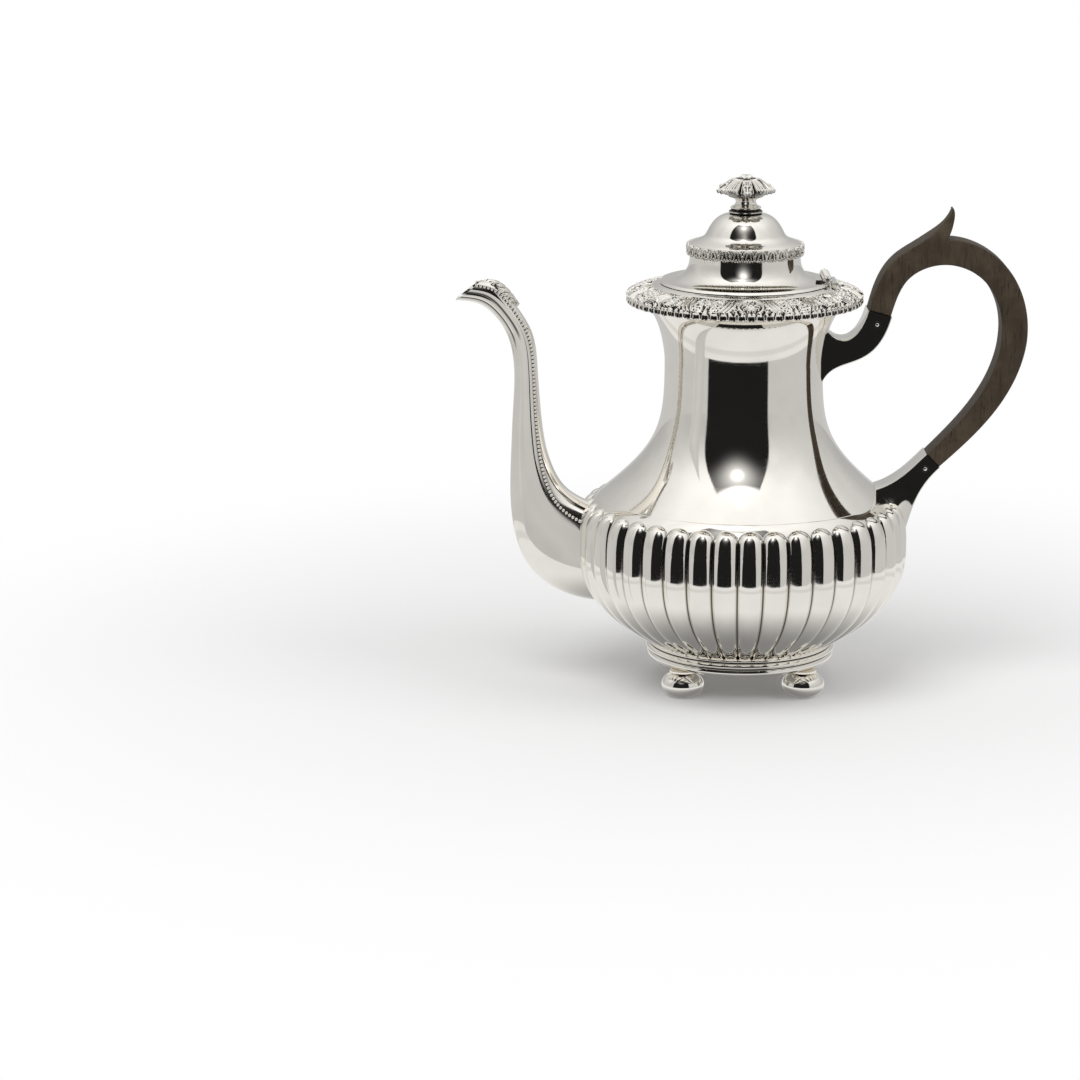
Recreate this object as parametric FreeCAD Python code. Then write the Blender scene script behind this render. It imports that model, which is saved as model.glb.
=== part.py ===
import FreeCAD, Part
import os
from math import cos, pi, radians, sin, tan

from FreeCAD import Vector

# Silver coffee pot. Millimetres, +Z up, origin on the pot's axis at the plane the feet stand on.
# The handle lies along +X and the spout along -X.

# Sheet metal and fits
sheet = 1.2
solder_gap = 0.05
running_gap = 0.3
pin_clearance = 0.05

# Feet
ball_foot_height = 13.2
ball_foot_diameter = 20.6
ball_foot_flat = 6.0
ball_collar_radius = 6.4
ball_collar_height = 0.8
ball_foot_count = 4
ball_foot_inset = 4.9

# Reeded foot ring
ring_radius = 46.2
ring_height = 9.2
ring_breadth = 7.0
ring_reeds = 3
ring_reed_bulge = 0.9
ring_taper = 1.6

# Lobed bowl
bowl_base_recess = 4.0
bowl_foot_radius = 43.4
bowl_radius = 80.5
bowl_height = 72.1
belly_height = 46.6
lobe_count = 40
lobe_depth = 3.0
lobe_dive = 2.0
lobe_lower_fullness = 2.45
lobe_upper_fullness = 4.0
bowl_core_depth = 2.0

# Strainer behind the spout
strainer_hole = 2.8
strainer_pitch = 5.2
strainer_rings = 2
strainer_height = 44.0

# Shoulder and neck
shoulder_radius = 68.9
shoulder_slope = 40.0
shoulder_pull = 37.6
neck_waist_radius = 38.2
neck_waist_height = 65.5
neck_waist_pull = 32.0
neck_flare_height = 29.4
neck_flare_pull = 5.0
lip_radius = 53.0
lip_pull = 11.9

# Rim
mouth_radius = 39.4
collar_radius = 44.4
collar_seat = 2.4
collar_depth = 8.0
collar_slope = 1.2
border_breadth = 13.2
border_height = 6.4
border_edge = 1.4
border_crown = 1.6

# Lid
lid_flange_radius = 41.0
lid_flat = 4.0
lid_waist_radius = 26.6
lid_waist_height = 11.0
lid_band_height = 6.6
lid_step_radius = 18.8
lid_step_height = 4.8
lid_flank_slope = 63.0
lid_dome_height = 9.6
lid_top_radius = 6.2
bezel_clearance = 0.9
bezel_depth = 6.6
lid_border_projection = 2.0
lid_border_height = 4.8
lid_border_drop = 0.2

# Finial
finial_base_radius = 8.0
finial_neck_radius = 5.4
finial_stem_height = 8.0
finial_seat_radius = 8.2
flower_radius = 15.0
flower_height = 10.4
flower_droop = 3.4
flower_petals = 8
flower_notch = 2.4
stud_radius = 2.0
stud_length = 6.0
nut_across_flats = 8.0
nut_height = 3.2

# Hinge
hinge_inset = 2.0
hinge_knuckle_radius = 2.3
hinge_pin_radius = 1.0
hinge_knuckles = 5
hinge_length = 20.0
hinge_leaf_thickness = 1.0
hinge_leaf_reach = 5.0
hinge_lid_leaf_reach = 3.0

# Handle
grip_thickness = 16.0
grip_upper_reach = 26.6
grip_upper_rise = 24.3
grip_crown_reach = 58.1
grip_crown_rise = 53.8
grip_back_reach = 91.4
grip_back_rise = 19.0
grip_lower_reach = 23.2
grip_lower_rise = 17.5
grip_upper_width = 10.7
grip_width = 12.4
grip_lower_width = 8.4
grip_edge_round = 2.2
grip_front_bow = (0.47, 0.20)
grip_top_bow = (0.46, 0.20)
grip_back_bow = (0.42, 0.114)
spur_height = 14.6
spur_length = 14.0
spur_thickness = 8.0
tenon_length = 11.0
socket_wall = 1.4
socket_overhang = 0.6
upper_socket_top_pull = 21.9
upper_socket_under_pull = 37.9
upper_socket_top_spread = 26.1
upper_socket_under_spread = 26.2
upper_socket_top_run = 17.8
upper_socket_under_run = 39.9
upper_socket_lean = 5.8
lower_socket_pull = 8.4
lower_socket_spread = 19.0
lower_socket_top_rise = 2.8
lower_socket_top_run = (12.5, 2.1)
lower_socket_under_reach = 16.4
lower_socket_under_run = (5.7, 20.8)
socket_root = 3.6
socket_pin_radius = 1.2
socket_pin_head = 1.7
socket_pin_head_rise = 0.6

# Spout
spout_wall = 1.2
bead_wire_radius = 0.8
bead_wire_gap = 0.5
bead_line_angle = 52.0
leaf_thickness = 1.2
leaf_length = 22.0
leaf_half_width = 3.4

# Heights that follow from the sizes above
ring_bottom = ball_foot_height
ring_top = ring_bottom + ring_height
base_level = ring_bottom + bowl_base_recess
belly_level = ring_top + belly_height
seam_level = ring_top + bowl_height
waist_level = seam_level + neck_waist_height
lip_level = waist_level + neck_flare_height
border_bottom = lip_level + sheet + solder_gap
rim_level = border_bottom + border_height + collar_slope
lid_level = rim_level + running_gap
band_level = lid_level + sheet + lid_waist_height
step_level = band_level + lid_band_height + lid_step_height
dome_level = step_level + lid_dome_height
stem_level = dome_level + solder_gap
flower_level = stem_level + finial_stem_height
hinge_level = rim_level + running_gap + hinge_knuckle_radius
hinge_axis_x = lid_flange_radius - hinge_inset
foot_circle = ring_radius - ball_foot_inset
Z_AXIS = Vector(0, 0, 1)
ORIGIN = Vector(0, 0, 0)


def pt(x, z, y=0.0):
    return Vector(x, y, z)


def line(a, b):
    return Part.makeLine(pt(*a), pt(*b))


def arc(a, b, c):
    return Part.Arc(pt(*a), pt(*b), pt(*c)).toShape()


def bezier(*poles):
    curve = Part.BezierCurve()
    curve.setPoles([pt(*p) for p in poles])
    return curve.toShape()


def spline(points, closed=False):
    curve = Part.BSplineCurve()
    curve.interpolate(Points=points, PeriodicFlag=closed)
    return curve.toShape()


def polyline(*points):
    return [line(a, b) for a, b in zip(points, points[1:])]


def turned(edges):
    face = Part.Face(Part.Wire(edges))
    return face.revolve(ORIGIN, Z_AXIS, 360)


def slab(edges, thickness):
    face = Part.Face(Part.Wire(edges))
    face.translate(Vector(0, -thickness / 2, 0))
    return face.extrude(Vector(0, thickness, 0))


def tube(inner, outer, low, high):
    body = Part.makeCylinder(outer, high - low, pt(0, low))
    return body.cut(Part.makeCylinder(inner, high - low, pt(0, low)))


def largest(shape):
    if len(shape.Solids) == 1:
        return shape.Solids[0]
    return max(shape.Solids, key=lambda solid: solid.Volume)


def trimmed(shape, solids):
    for solid in solids:
        shape = shape.cut(solid)
    return largest(shape)


def spun(shape, angle):
    copy = shape.copy()
    copy.rotate(ORIGIN, Z_AXIS, angle)
    return copy


# Lobed body


def crest_radius(z):
    if z < belly_level:
        fall = (belly_level - z) / belly_height
        return bowl_radius - (bowl_radius - bowl_foot_radius) * fall ** lobe_lower_fullness
    rise = (z - belly_level) / (seam_level - belly_level)
    return bowl_radius - (bowl_radius - shoulder_radius + lobe_dive) * rise ** lobe_upper_fullness


def lobe_section(z, grow):
    crest = crest_radius(z) + grow
    valley = crest - lobe_depth * crest_radius(z) / bowl_radius
    pitch = 2 * pi / lobe_count
    edges = []
    for k in range(lobe_count):
        ring = [(valley, k - 0.5), (crest, k), (valley, k + 0.5)]
        points = [Vector(r * cos(n * pitch), r * sin(n * pitch), z) for r, n in ring]
        edges.append(Part.Arc(*points).toShape())
    return Part.Wire(edges)


def lobes(grow):
    heights = [ring_top + belly_height * share for share in (0.0, 0.12, 0.3, 0.52, 0.76)]
    heights += [belly_level + (seam_level - belly_level) * share for share in (0.0, 0.35, 0.62, 0.82, 1.0)]
    return Part.makeLoft([lobe_section(z, grow) for z in heights], True, False)


def slope_run(length):
    slope = radians(shoulder_slope)
    return length * cos(slope), length * sin(slope)


def core(grow):
    # Smooth body inside the lobes, which shows above them as the shoulder
    foot = bowl_foot_radius - bowl_core_depth + grow
    belly = bowl_radius - lobe_depth - bowl_core_depth + grow
    seam = shoulder_radius + grow / sin(radians(shoulder_slope))
    run, rise = slope_run((seam_level - belly_level) / 4)
    low = base_level - grow
    edges = polyline((0, seam_level), (0, low), (foot - bowl_base_recess, low), (foot, ring_top),
                     (belly, belly_level))
    edges.append(bezier((belly, belly_level), (belly, (belly_level + seam_level) / 2),
                        (seam + run, seam_level - rise), (seam, seam_level)))
    edges.append(line((seam, seam_level), (0, seam_level)))
    return turned(edges)


def bowl_form(grow):
    return core(grow).fuse(lobes(grow))


def neck_curves(grow):
    seam = shoulder_radius + grow / sin(radians(shoulder_slope))
    waist = neck_waist_radius + grow
    run, rise = slope_run(shoulder_pull)
    lip = lip_level - grow
    lower = bezier((seam, seam_level), (seam - run, seam_level + rise),
                   (waist, waist_level - neck_waist_pull), (waist, waist_level))
    upper = bezier((waist, waist_level), (waist, waist_level + neck_flare_pull),
                   (lip_radius - lip_pull, lip), (lip_radius, lip))
    return lower, upper


def neck_form(grow):
    lower, upper = neck_curves(grow)
    lip = lip_level - grow
    ends = polyline((lip_radius, lip), (0, lip), (0, seam_level))
    seam = shoulder_radius + grow / sin(radians(shoulder_slope))
    return turned([lower, upper] + ends + [line((0, seam_level), (seam, seam_level))])


def strainer_holes():
    holes = []
    level = ring_top + strainer_height
    for row in range(-strainer_rings, strainer_rings + 1):
        count = 2 * strainer_rings + 1 - abs(row)
        for k in range(count):
            y = (k - (count - 1) / 2) * strainer_pitch
            z = level + row * strainer_pitch * sin(pi / 3)
            hole = Part.makeCylinder(strainer_hole / 2, bowl_radius, pt(-bowl_radius - lobe_depth, z, y),
                                     Vector(1, 0, 0))
            holes.append(hole)
    return Part.makeCompound(holes)


def make_bowl():
    # Outer skin, inner skin one sheet further in, and the flat edge at the seam that joins them
    outer = bowl_form(0.0)
    inner = bowl_form(-sheet)
    skins = [face for face in outer.Faces if not at_seam(face)]
    skins += [face.reversed() for face in inner.Faces if not at_seam(face)]
    tops = [[face for face in form.Faces if at_seam(face)][0] for form in (outer, inner)]
    shell = Part.makeShell(skins + tops[0].cut(tops[1]).Faces)
    shell.sewShape()
    return largest(Part.makeSolid(shell).cut(strainer_holes()))


def at_seam(face):
    return face.BoundBox.ZMin > seam_level - sheet


def make_neck():
    outer = neck_curves(0.0)
    inner = neck_curves(-sheet)
    seam = shoulder_radius - sheet / sin(radians(shoulder_slope))
    foot = line((shoulder_radius, seam_level), (seam, seam_level))
    lip = line((lip_radius, lip_level), (lip_radius, lip_level + sheet))
    return turned(Part.__sortEdges__([*outer, lip, *inner, foot]))


# Foot


def make_foot_ring():
    inner = ring_radius - ring_breadth
    step = ring_height / ring_reeds
    edges = polyline((ring_radius - ring_taper, ring_bottom), (inner, ring_bottom), (inner, ring_top),
                     (ring_radius - ring_taper / 2 - ring_reed_bulge, ring_top))
    corners = [(ring_radius - ring_taper, ring_bottom)]
    for k in range(1, ring_reeds):
        corners.append((ring_radius - ring_reed_bulge, ring_bottom + k * step))
    corners.append((ring_radius - ring_taper / 2 - ring_reed_bulge, ring_top))
    for a, b in zip(corners, corners[1:]):
        swell = (max(a[0], b[0]) + ring_reed_bulge, (a[1] + b[1]) / 2)
        edges.append(arc(a, swell, b))
    ring = turned(Part.__sortEdges__(edges))
    return largest(ring.cut(core(solder_gap)))


def make_ball_foot(angle):
    flat = ball_foot_flat / 2
    collar = ball_collar_radius
    radius = ball_foot_diameter / 2
    half = ball_foot_height / 2
    top = ring_bottom - solder_gap
    waist = top - ball_collar_height
    edges = [line((0, 0), (flat, 0)),
             bezier((flat, 0), (radius * 0.78, 0), (radius, half * 0.45), (radius, half)),
             bezier((radius, half), (radius, half * 1.5), (radius * 0.85, waist), (collar, waist))]
    edges += polyline((collar, waist), (collar, top), (0, top), (0, 0))
    foot = turned(edges)
    foot.translate(Vector(foot_circle, 0, 0))
    return spun(foot, angle)


# Rim


def make_rim_collar():
    seat = mouth_radius + collar_seat
    under = rim_level - collar_slope - sheet
    foot = rim_level - collar_depth
    wall = mouth_radius + sheet
    return turned(polyline((mouth_radius, rim_level), (seat, rim_level), (collar_radius, under + sheet),
                           (collar_radius, under), (wall, under), (wall, foot), (mouth_radius, foot),
                           (mouth_radius, rim_level)))


def make_rim_border():
    inner = collar_radius + solder_gap
    outer = inner + border_breadth
    top = border_bottom + border_height
    hang = border_bottom - border_edge
    lip = lip_radius + solder_gap
    middle = ((inner + outer) / 2, (top + border_bottom) / 2 + border_crown)
    edges = polyline((outer, border_bottom), (outer - border_edge / 4, hang), (lip, hang),
                     (lip, border_bottom), (inner, border_bottom), (inner, top))
    edges.append(arc((inner, top), middle, (outer, border_bottom)))
    return turned(edges)


# Lid


def lid_outline(drop):
    # Outline of the lid from the edge of its flange to its top, drop below the outer face
    flat = lid_flange_radius - lid_flat
    waist = lid_waist_radius - drop
    face = lid_level + sheet - drop
    band_top = band_level + lid_band_height - drop
    step = lid_step_radius - drop / sin(radians(lid_flank_slope))
    lean = 1 / tan(radians(lid_flank_slope))
    under = 0.6 * lid_step_height
    over = 0.5 * lid_dome_height
    top = dome_level - drop
    edges = [line((lid_flange_radius, face), (flat, face)),
             bezier((flat, face), (flat - 0.6 * (flat - waist), face),
                    (waist, face + 0.4 * lid_waist_height), (waist, band_level))]
    edges.append(line((waist, band_level), (waist, band_top)))
    edges.append(bezier((waist, band_top), (waist - 0.4 * (waist - step), band_top + 0.4 * lid_step_height),
                        (step + lean * under, step_level - under), (step, step_level)))
    edges.append(bezier((step, step_level), (step - lean * over, step_level + over),
                        (lid_top_radius + 0.6 * (step - lid_top_radius), top), (lid_top_radius, top)))
    edges.append(line((lid_top_radius, top), (0, top)))
    return edges


def make_lid_cover():
    edges = lid_outline(0.0) + lid_outline(sheet)
    edges.append(line((lid_flange_radius, lid_level), (lid_flange_radius, lid_level + sheet)))
    edges.append(line((0, dome_level), (0, dome_level - sheet)))
    cover = turned(Part.__sortEdges__(edges))
    hole = Part.makeCylinder(stud_radius + solder_gap, 3 * sheet, pt(0, dome_level - 2 * sheet))
    return largest(cover.cut(hole).cut(barrel_room()))


def lid_form(grow):
    edges = lid_outline(-grow)
    edges += polyline((lid_flange_radius, lid_level + sheet + grow), (lid_flange_radius, lid_level),
                      (0, lid_level), (0, dome_level + grow))
    return turned(Part.__sortEdges__(edges))


def barrel_room():
    # Space that the lid leaves round the hinge's barrel and behind it
    radius = hinge_knuckle_radius + running_gap
    length = hinge_length + 2 * running_gap
    room = Part.makeCylinder(radius, length, pt(hinge_axis_x, hinge_level, -length / 2), Vector(0, 1, 0))
    behind = Part.makeBox(lid_flange_radius, length, 2 * radius,
                          pt(hinge_axis_x, hinge_level - radius, -length / 2))
    return room.fuse(behind)


def make_lid_bezel():
    outer = mouth_radius - bezel_clearance
    bezel = tube(outer - sheet, outer, lid_level - bezel_depth, lid_level - solder_gap)
    return largest(bezel.cut(barrel_room()))


def make_lid_border():
    inner = lid_waist_radius + solder_gap
    high = band_level + lid_band_height - lid_border_drop
    low = high - lid_border_height
    edge = inner + lid_border_projection / 2
    edges = polyline((edge, high), (inner, high), (inner, low), (edge, low))
    edges.append(arc((edge, low), (inner + lid_border_projection, (low + high) / 2), (edge, high)))
    return turned(edges)


# Finial


def make_finial_stem():
    base = finial_base_radius
    neck = finial_neck_radius
    rise = finial_stem_height
    reed = (base + neck) / 2 + 0.6
    z = stem_level
    top = flower_level - solder_gap
    edges = polyline((0, z - stud_length), (stud_radius, z - stud_length), (stud_radius, z), (base - 0.6, z))
    edges.append(arc((base - 0.6, z), (base, z + 0.09 * rise), (base - 0.8, z + 0.18 * rise)))
    edges.append(line((base - 0.8, z + 0.18 * rise), (reed - 0.6, z + 0.22 * rise)))
    edges.append(arc((reed - 0.6, z + 0.22 * rise), (reed, z + 0.33 * rise), (reed - 0.8, z + 0.44 * rise)))
    edges.append(bezier((reed - 0.8, z + 0.44 * rise), (neck, z + 0.5 * rise), (neck, z + 0.8 * rise),
                        (finial_seat_radius, top)))
    edges += polyline((finial_seat_radius, top), (0, top), (0, z - stud_length))
    return turned(edges)


def make_finial_flower():
    wide = flower_radius
    tall = flower_height
    low = flower_level
    rim = low + flower_droop
    top = low + tall
    edges = [line((0, low), (finial_seat_radius, low)),
             bezier((finial_seat_radius, low), (0.75 * wide, low), (wide, 0.7 * rim + 0.3 * low),
                    (wide, rim)),
             bezier((wide, rim), (wide, rim + 0.13 * tall), (0.72 * wide, rim + 0.3 * tall),
                    (0.6 * wide, top - 0.25 * tall)),
             bezier((0.6 * wide, top - 0.25 * tall), (0.45 * wide, top), (0.2 * wide, top), (0, top)),
             line((0, top), (0, low))]
    flower = turned(edges)
    for k in range(flower_petals):
        notch = Part.makeCylinder(flower_notch, 2 * tall, pt(wide + 0.4 * flower_notch, low - tall / 2))
        flower = flower.cut(spun(notch, (k + 0.5) * 360 / flower_petals))
    return largest(flower)


def make_finial_nut():
    top = dome_level - sheet - solder_gap
    corner = nut_across_flats / 2 / cos(pi / 6)
    ring = [pt(corner * cos(k * pi / 3), top - nut_height, corner * sin(k * pi / 3)) for k in range(7)]
    nut = Part.Face(Part.makePolygon(ring)).extrude(Vector(0, 0, nut_height))
    bore = Part.makeCylinder(stud_radius + solder_gap, 2 * nut_height, pt(0, top - 1.5 * nut_height))
    return largest(nut.cut(bore))


# Hinge


def knuckle(index, radius):
    length = hinge_length / hinge_knuckles
    start = -hinge_length / 2 + index * length
    end = start + length
    if index > 0:
        start += running_gap / 2
    if index < hinge_knuckles - 1:
        end -= running_gap / 2
    return Part.makeCylinder(radius, end - start, pt(hinge_axis_x, hinge_level, start), Vector(0, 1, 0))


def hinge_leaf(indices, far, low, thickness):
    # Knuckles of one side with the plate that carries them
    near = hinge_axis_x
    leaf = None
    for index in indices:
        barrel = knuckle(index, hinge_knuckle_radius)
        span = barrel.BoundBox
        arm = Part.makeBox(abs(far - near), span.YLength, thickness, pt(min(far, near), low, span.YMin))
        piece = barrel.fuse(arm)
        leaf = piece if leaf is None else leaf.fuse(piece)
    clear = hinge_knuckle_radius + running_gap
    edge = hinge_axis_x + clear if far > near else hinge_axis_x - clear
    plate = Part.makeBox(abs(far - edge), hinge_length, thickness, pt(min(far, edge), low, -hinge_length / 2))
    bore = Part.makeCylinder(hinge_pin_radius + pin_clearance, 2 * hinge_length,
                             pt(hinge_axis_x, hinge_level, -hinge_length), Vector(0, 1, 0))
    return largest(leaf.fuse(plate).cut(bore).removeSplitter())


def make_hinge_pot_leaf():
    far = hinge_axis_x + hinge_leaf_reach
    return hinge_leaf(range(0, hinge_knuckles, 2), far, rim_level + solder_gap, hinge_leaf_thickness)


def make_hinge_lid_leaf():
    far = hinge_axis_x - hinge_knuckle_radius - running_gap - hinge_lid_leaf_reach
    low = lid_level + sheet / 2
    leaf = hinge_leaf(range(1, hinge_knuckles, 2), far, low, sheet / 2 + hinge_leaf_thickness)
    return largest(leaf.cut(lid_form(solder_gap).cut(barrel_room())))


def make_hinge_pin():
    return Part.makeCylinder(hinge_pin_radius, hinge_length,
                             pt(hinge_axis_x, hinge_level, -hinge_length / 2), Vector(0, 1, 0))


# Handle

grip_start = (neck_waist_radius + grip_upper_reach, waist_level + grip_upper_rise)
grip_crown = (neck_waist_radius + grip_crown_reach, waist_level + grip_crown_rise)
grip_back = (neck_waist_radius + grip_back_reach, waist_level + grip_back_rise)
grip_end = (shoulder_radius + grip_lower_reach, seam_level + grip_lower_rise)


def between(a, b, share, lift):
    # Point part of the way from a to b, set off to the left of that way
    dx = b[0] - a[0]
    dz = b[1] - a[1]
    return a[0] + share * dx - lift * dz, a[1] + share * dz + lift * dx


def grip_line():
    points = [grip_start, between(grip_start, grip_crown, *grip_front_bow), grip_crown,
              between(grip_crown, grip_back, *grip_top_bow), grip_back,
              between(grip_back, grip_end, *grip_back_bow), grip_end]
    return spline([pt(*p) for p in points])


def grip_half_width(share):
    if share < 0.3:
        return (grip_upper_width + (grip_width - grip_upper_width) * share / 0.3) / 2
    if share < 0.6:
        return grip_width / 2
    return (grip_width + (grip_lower_width - grip_width) * (share - 0.6) / 0.4) / 2


def grip_frame(share):
    edge = grip_line()
    at = edge.FirstParameter + share * (edge.LastParameter - edge.FirstParameter)
    tangent = edge.tangentAt(at)
    return edge.valueAt(at), tangent, Vector(-tangent.z, 0, tangent.x)


def make_grip():
    steps = 14
    frames = [(grip_frame(k / steps), grip_half_width(k / steps)) for k in range(steps + 1)]
    outer = [place + side * half for (place, _, side), half in frames]
    inner = [place - side * half for (place, _, side), half in frames]
    edges = [spline(outer), Part.makeLine(outer[-1], inner[-1]), spline(inner[::-1]),
             Part.makeLine(inner[0], outer[0])]
    grip = slab(edges, grip_thickness)
    long_edges = [e for e in grip.Edges if e.BoundBox.YLength < 0.01 and e.Length > 4 * grip_width]
    grip = grip.makeFillet(grip_edge_round, long_edges)
    grip = grip.fuse(thumb_spur())
    for share in (0.0, 1.0):
        grip = grip.fuse(tenon(share, 0.0))
    return largest(grip.removeSplitter().cut(pin_bore(upper_pin_place())).cut(pin_bore(lower_pin_place())))


def thumb_spur():
    # Thorn that leans back over the crown of the grip
    x, z = grip_crown
    top = z + grip_width / 2
    root = z + grip_width / 4
    front = (x - 0.95 * spur_length, root)
    back = (x - 0.1 * spur_length, root)
    tip = (x + 0.19 * spur_length, top + spur_height)
    edges = [bezier(front, (x - 0.4 * spur_length, top + 0.2 * spur_height),
                    (x, top + 0.5 * spur_height), tip),
             bezier(tip, (x + 0.3 * spur_length, top + 0.85 * spur_height),
                    (x + 0.28 * spur_length, top + 0.45 * spur_height), back),
             line(back, front)]
    return slab(edges, spur_thickness)


def tenon(share, grow):
    # Square peg on one end of the grip, which the socket's bore takes with grow all round
    place, tangent, side = grip_frame(share)
    along = tangent * (1 if share > 0.5 else -1)
    half = grip_half_width(share) - socket_wall + grow
    reach = tenon_length + grow
    root = place - along * (socket_wall if grow == 0.0 else 0.0)
    corners = [root + side * half, root - side * half, place + along * reach - side * half,
               place + along * reach + side * half, root + side * half]
    face = Part.Face(Part.makePolygon(corners))
    thickness = grip_thickness - 2 * socket_wall + 2 * grow
    face.translate(Vector(0, -thickness / 2, 0))
    return face.extrude(Vector(0, thickness, 0))


def socket_body(edges, share):
    body = slab(edges, grip_thickness + 2 * socket_overhang)
    return body.cut(tenon(share, solder_gap))


def socket_corners(share):
    # Two corners of the socket's end, which meets the end of the grip
    place, tangent, side = grip_frame(share)
    back = tangent * (solder_gap if share > 0.5 else -solder_gap)
    half = grip_half_width(share) + socket_overhang
    return place + back + side * half, place + back - side * half


def make_upper_socket(neck_solid):
    left, right = socket_corners(0.0)
    back = grip_frame(0.0)[1] * -1
    root = neck_waist_radius - socket_root
    top = waist_level + upper_socket_top_spread
    low = waist_level - upper_socket_under_spread
    over = bezier(*in_plane(left, left + back * upper_socket_top_pull),
                  (root + upper_socket_lean, top - upper_socket_top_run), (root, top))
    under = bezier(*in_plane(right, right + back * upper_socket_under_pull),
                   (root, low + upper_socket_under_run), (root, low))
    edges = [over, line((root, top), (root, low)), under, Part.makeLine(right, left)]
    socket = socket_body(edges, 0.0).cut(neck_solid)
    return largest(socket.cut(pin_bore(upper_pin_place())))


def make_lower_socket(body_solids):
    outer, inner = socket_corners(1.0)
    ahead = grip_frame(1.0)[1] * lower_socket_pull
    root = shoulder_radius - 2 * socket_root
    top = seam_level + lower_socket_top_rise
    low = seam_level - lower_socket_spread
    front = root + lower_socket_under_reach
    top_run = (root + lower_socket_top_run[0], top + lower_socket_top_run[1])
    under_run = (front + lower_socket_under_run[0], low + lower_socket_under_run[1])
    over = bezier(*in_plane(inner, inner + ahead), top_run, (root, top))
    under = bezier(*in_plane(outer, outer + ahead), under_run, (front, low))
    edges = [over, under, Part.makeLine(outer, inner)]
    edges += polyline((root, top), (root, low), (front, low))
    socket = trimmed(socket_body(Part.__sortEdges__(edges), 1.0), body_solids)
    return largest(socket.cut(pin_bore(lower_pin_place())))


def in_plane(*points):
    return [(p.x, p.z) for p in points]


def upper_pin_place():
    place, tangent, _ = grip_frame(0.0)
    return place - tangent * (tenon_length / 2)


def lower_pin_place():
    place, tangent, _ = grip_frame(1.0)
    return place + tangent * (tenon_length / 2)


def pin_bore(place):
    reach = grip_thickness + 2 * socket_overhang
    return Part.makeCylinder(socket_pin_radius + solder_gap, 2 * reach, place - Vector(0, reach, 0),
                             Vector(0, 1, 0))


def make_pin(place):
    half = grip_thickness / 2 + socket_overhang + solder_gap
    pin = Part.makeCylinder(socket_pin_radius, 2 * half, place - Vector(0, half, 0), Vector(0, 1, 0))
    for side in (-1, 1):
        head = Part.makeCone(socket_pin_head, socket_pin_head * 0.6, socket_pin_head_rise,
                             place + Vector(0, side * half, 0), Vector(0, side, 0))
        pin = pin.fuse(head)
    return largest(pin.removeSplitter())


# Spout

# Each station: outer edge, inner edge and half breadth, measured from the belly and the top of the foot ring
spout_stations = [
    ((-20.5, 17.6), (-20.5, 63.6), 15.0),
    ((3.5, 21.1), (-4.5, 68.6), 14.5),
    ((23.0, 35.1), (6.0, 75.6), 12.0),
    ((32.0, 63.6), (12.5, 87.1), 9.3),
    ((32.1, 90.6), (15.8, 99.1), 7.6),
    ((31.1, 113.6), (17.9, 116.6), 6.8),
    ((30.5, 133.6), (19.2, 135.1), 6.3),
    ((33.7, 150.1), (22.1, 152.1), 6.0),
    ((40.0, 159.9), (29.7, 164.9), 6.0),
    ((48.5, 165.8), (38.0, 174.4), 5.8),
    ((58.8, 167.2), (46.3, 176.8), 5.4),
]


def spout_point(place):
    return pt(-bowl_radius - place[0], ring_top + place[1])


def spout_ring(station, angle, grow):
    # Point on the egg-shaped section of a station, with angle 0 at its outer edge
    outer = spout_point(station[0])
    inner = spout_point(station[1])
    middle = (outer + inner) / 2
    out = (outer - inner) / 2
    reach = out.Length + grow
    out.normalize()
    return middle + out * (reach * cos(angle)) + Vector(0, (station[2] + grow) * sin(angle), 0)


def spout_section(station, grow):
    halves = []
    for start in (-pi / 2, pi / 2):
        halves.append(spline([spout_ring(station, start + n * pi / 6, grow) for n in range(7)]))
    return Part.Wire(halves)


def spout_form(grow, lengthen=0.0):
    wires = [spout_section(station, grow) for station in spout_stations]
    if lengthen:
        wires[-1].translate(mouth_direction() * lengthen)
    return Part.makeLoft(wires, True, False)


def mouth_direction():
    outer = spout_point(spout_stations[-1][0])
    inner = spout_point(spout_stations[-1][1])
    along = outer - inner
    return Vector(along.z, 0, -along.x).normalize()


def make_spout(body_solids):
    return trimmed(spout_form(0.0).cut(spout_form(-spout_wall, 2 * spout_wall)), body_solids)


def make_spout_bead(side, body_solids):
    angle = pi - side * radians(bead_line_angle)
    stand_off = bead_wire_radius + bead_wire_gap
    curve = spline([spout_ring(station, angle, stand_off) for station in spout_stations])
    wires = []
    steps = 2 * len(spout_stations)
    for k in range(steps + 1):
        at = curve.FirstParameter + (curve.LastParameter - curve.FirstParameter) * k / steps
        circle = Part.makeCircle(bead_wire_radius, curve.valueAt(at), curve.tangentAt(at))
        wires.append(Part.Wire([circle]))
    return trimmed(Part.makeLoft(wires, True, False), body_solids)


def make_spout_leaf():
    tip = spout_point(spout_stations[-1][1])
    foot = spout_point(spout_stations[-3][1])
    along = (foot - tip).normalize()
    up = Vector(along.z, 0, -along.x)
    if up.z < 0:
        up = up * -1
    root = tip + along * (0.08 * leaf_length)
    half = leaf_half_width

    def spot(share, breadth):
        return root + along * (share * leaf_length) + Vector(0, breadth * half, 0) - up * leaf_length / 3

    right = [spot(0.0, 0.45), spot(0.25, 0.95), spot(0.5, 0.9), spot(0.8, 0.5), spot(1.0, 0.0)]
    left = [spot(1.0, 0.0), spot(0.8, -0.5), spot(0.5, -0.9), spot(0.25, -0.95), spot(0.0, -0.45)]
    face = Part.Face(Part.Wire([spline(right), spline(left), Part.makeLine(left[-1], right[0])]))
    blank = face.extrude(up * leaf_length)
    skin = spout_form(leaf_thickness).common(blank)
    return largest(skin.cut(spout_form(solder_gap)))


# Build every piece and write it out


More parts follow.
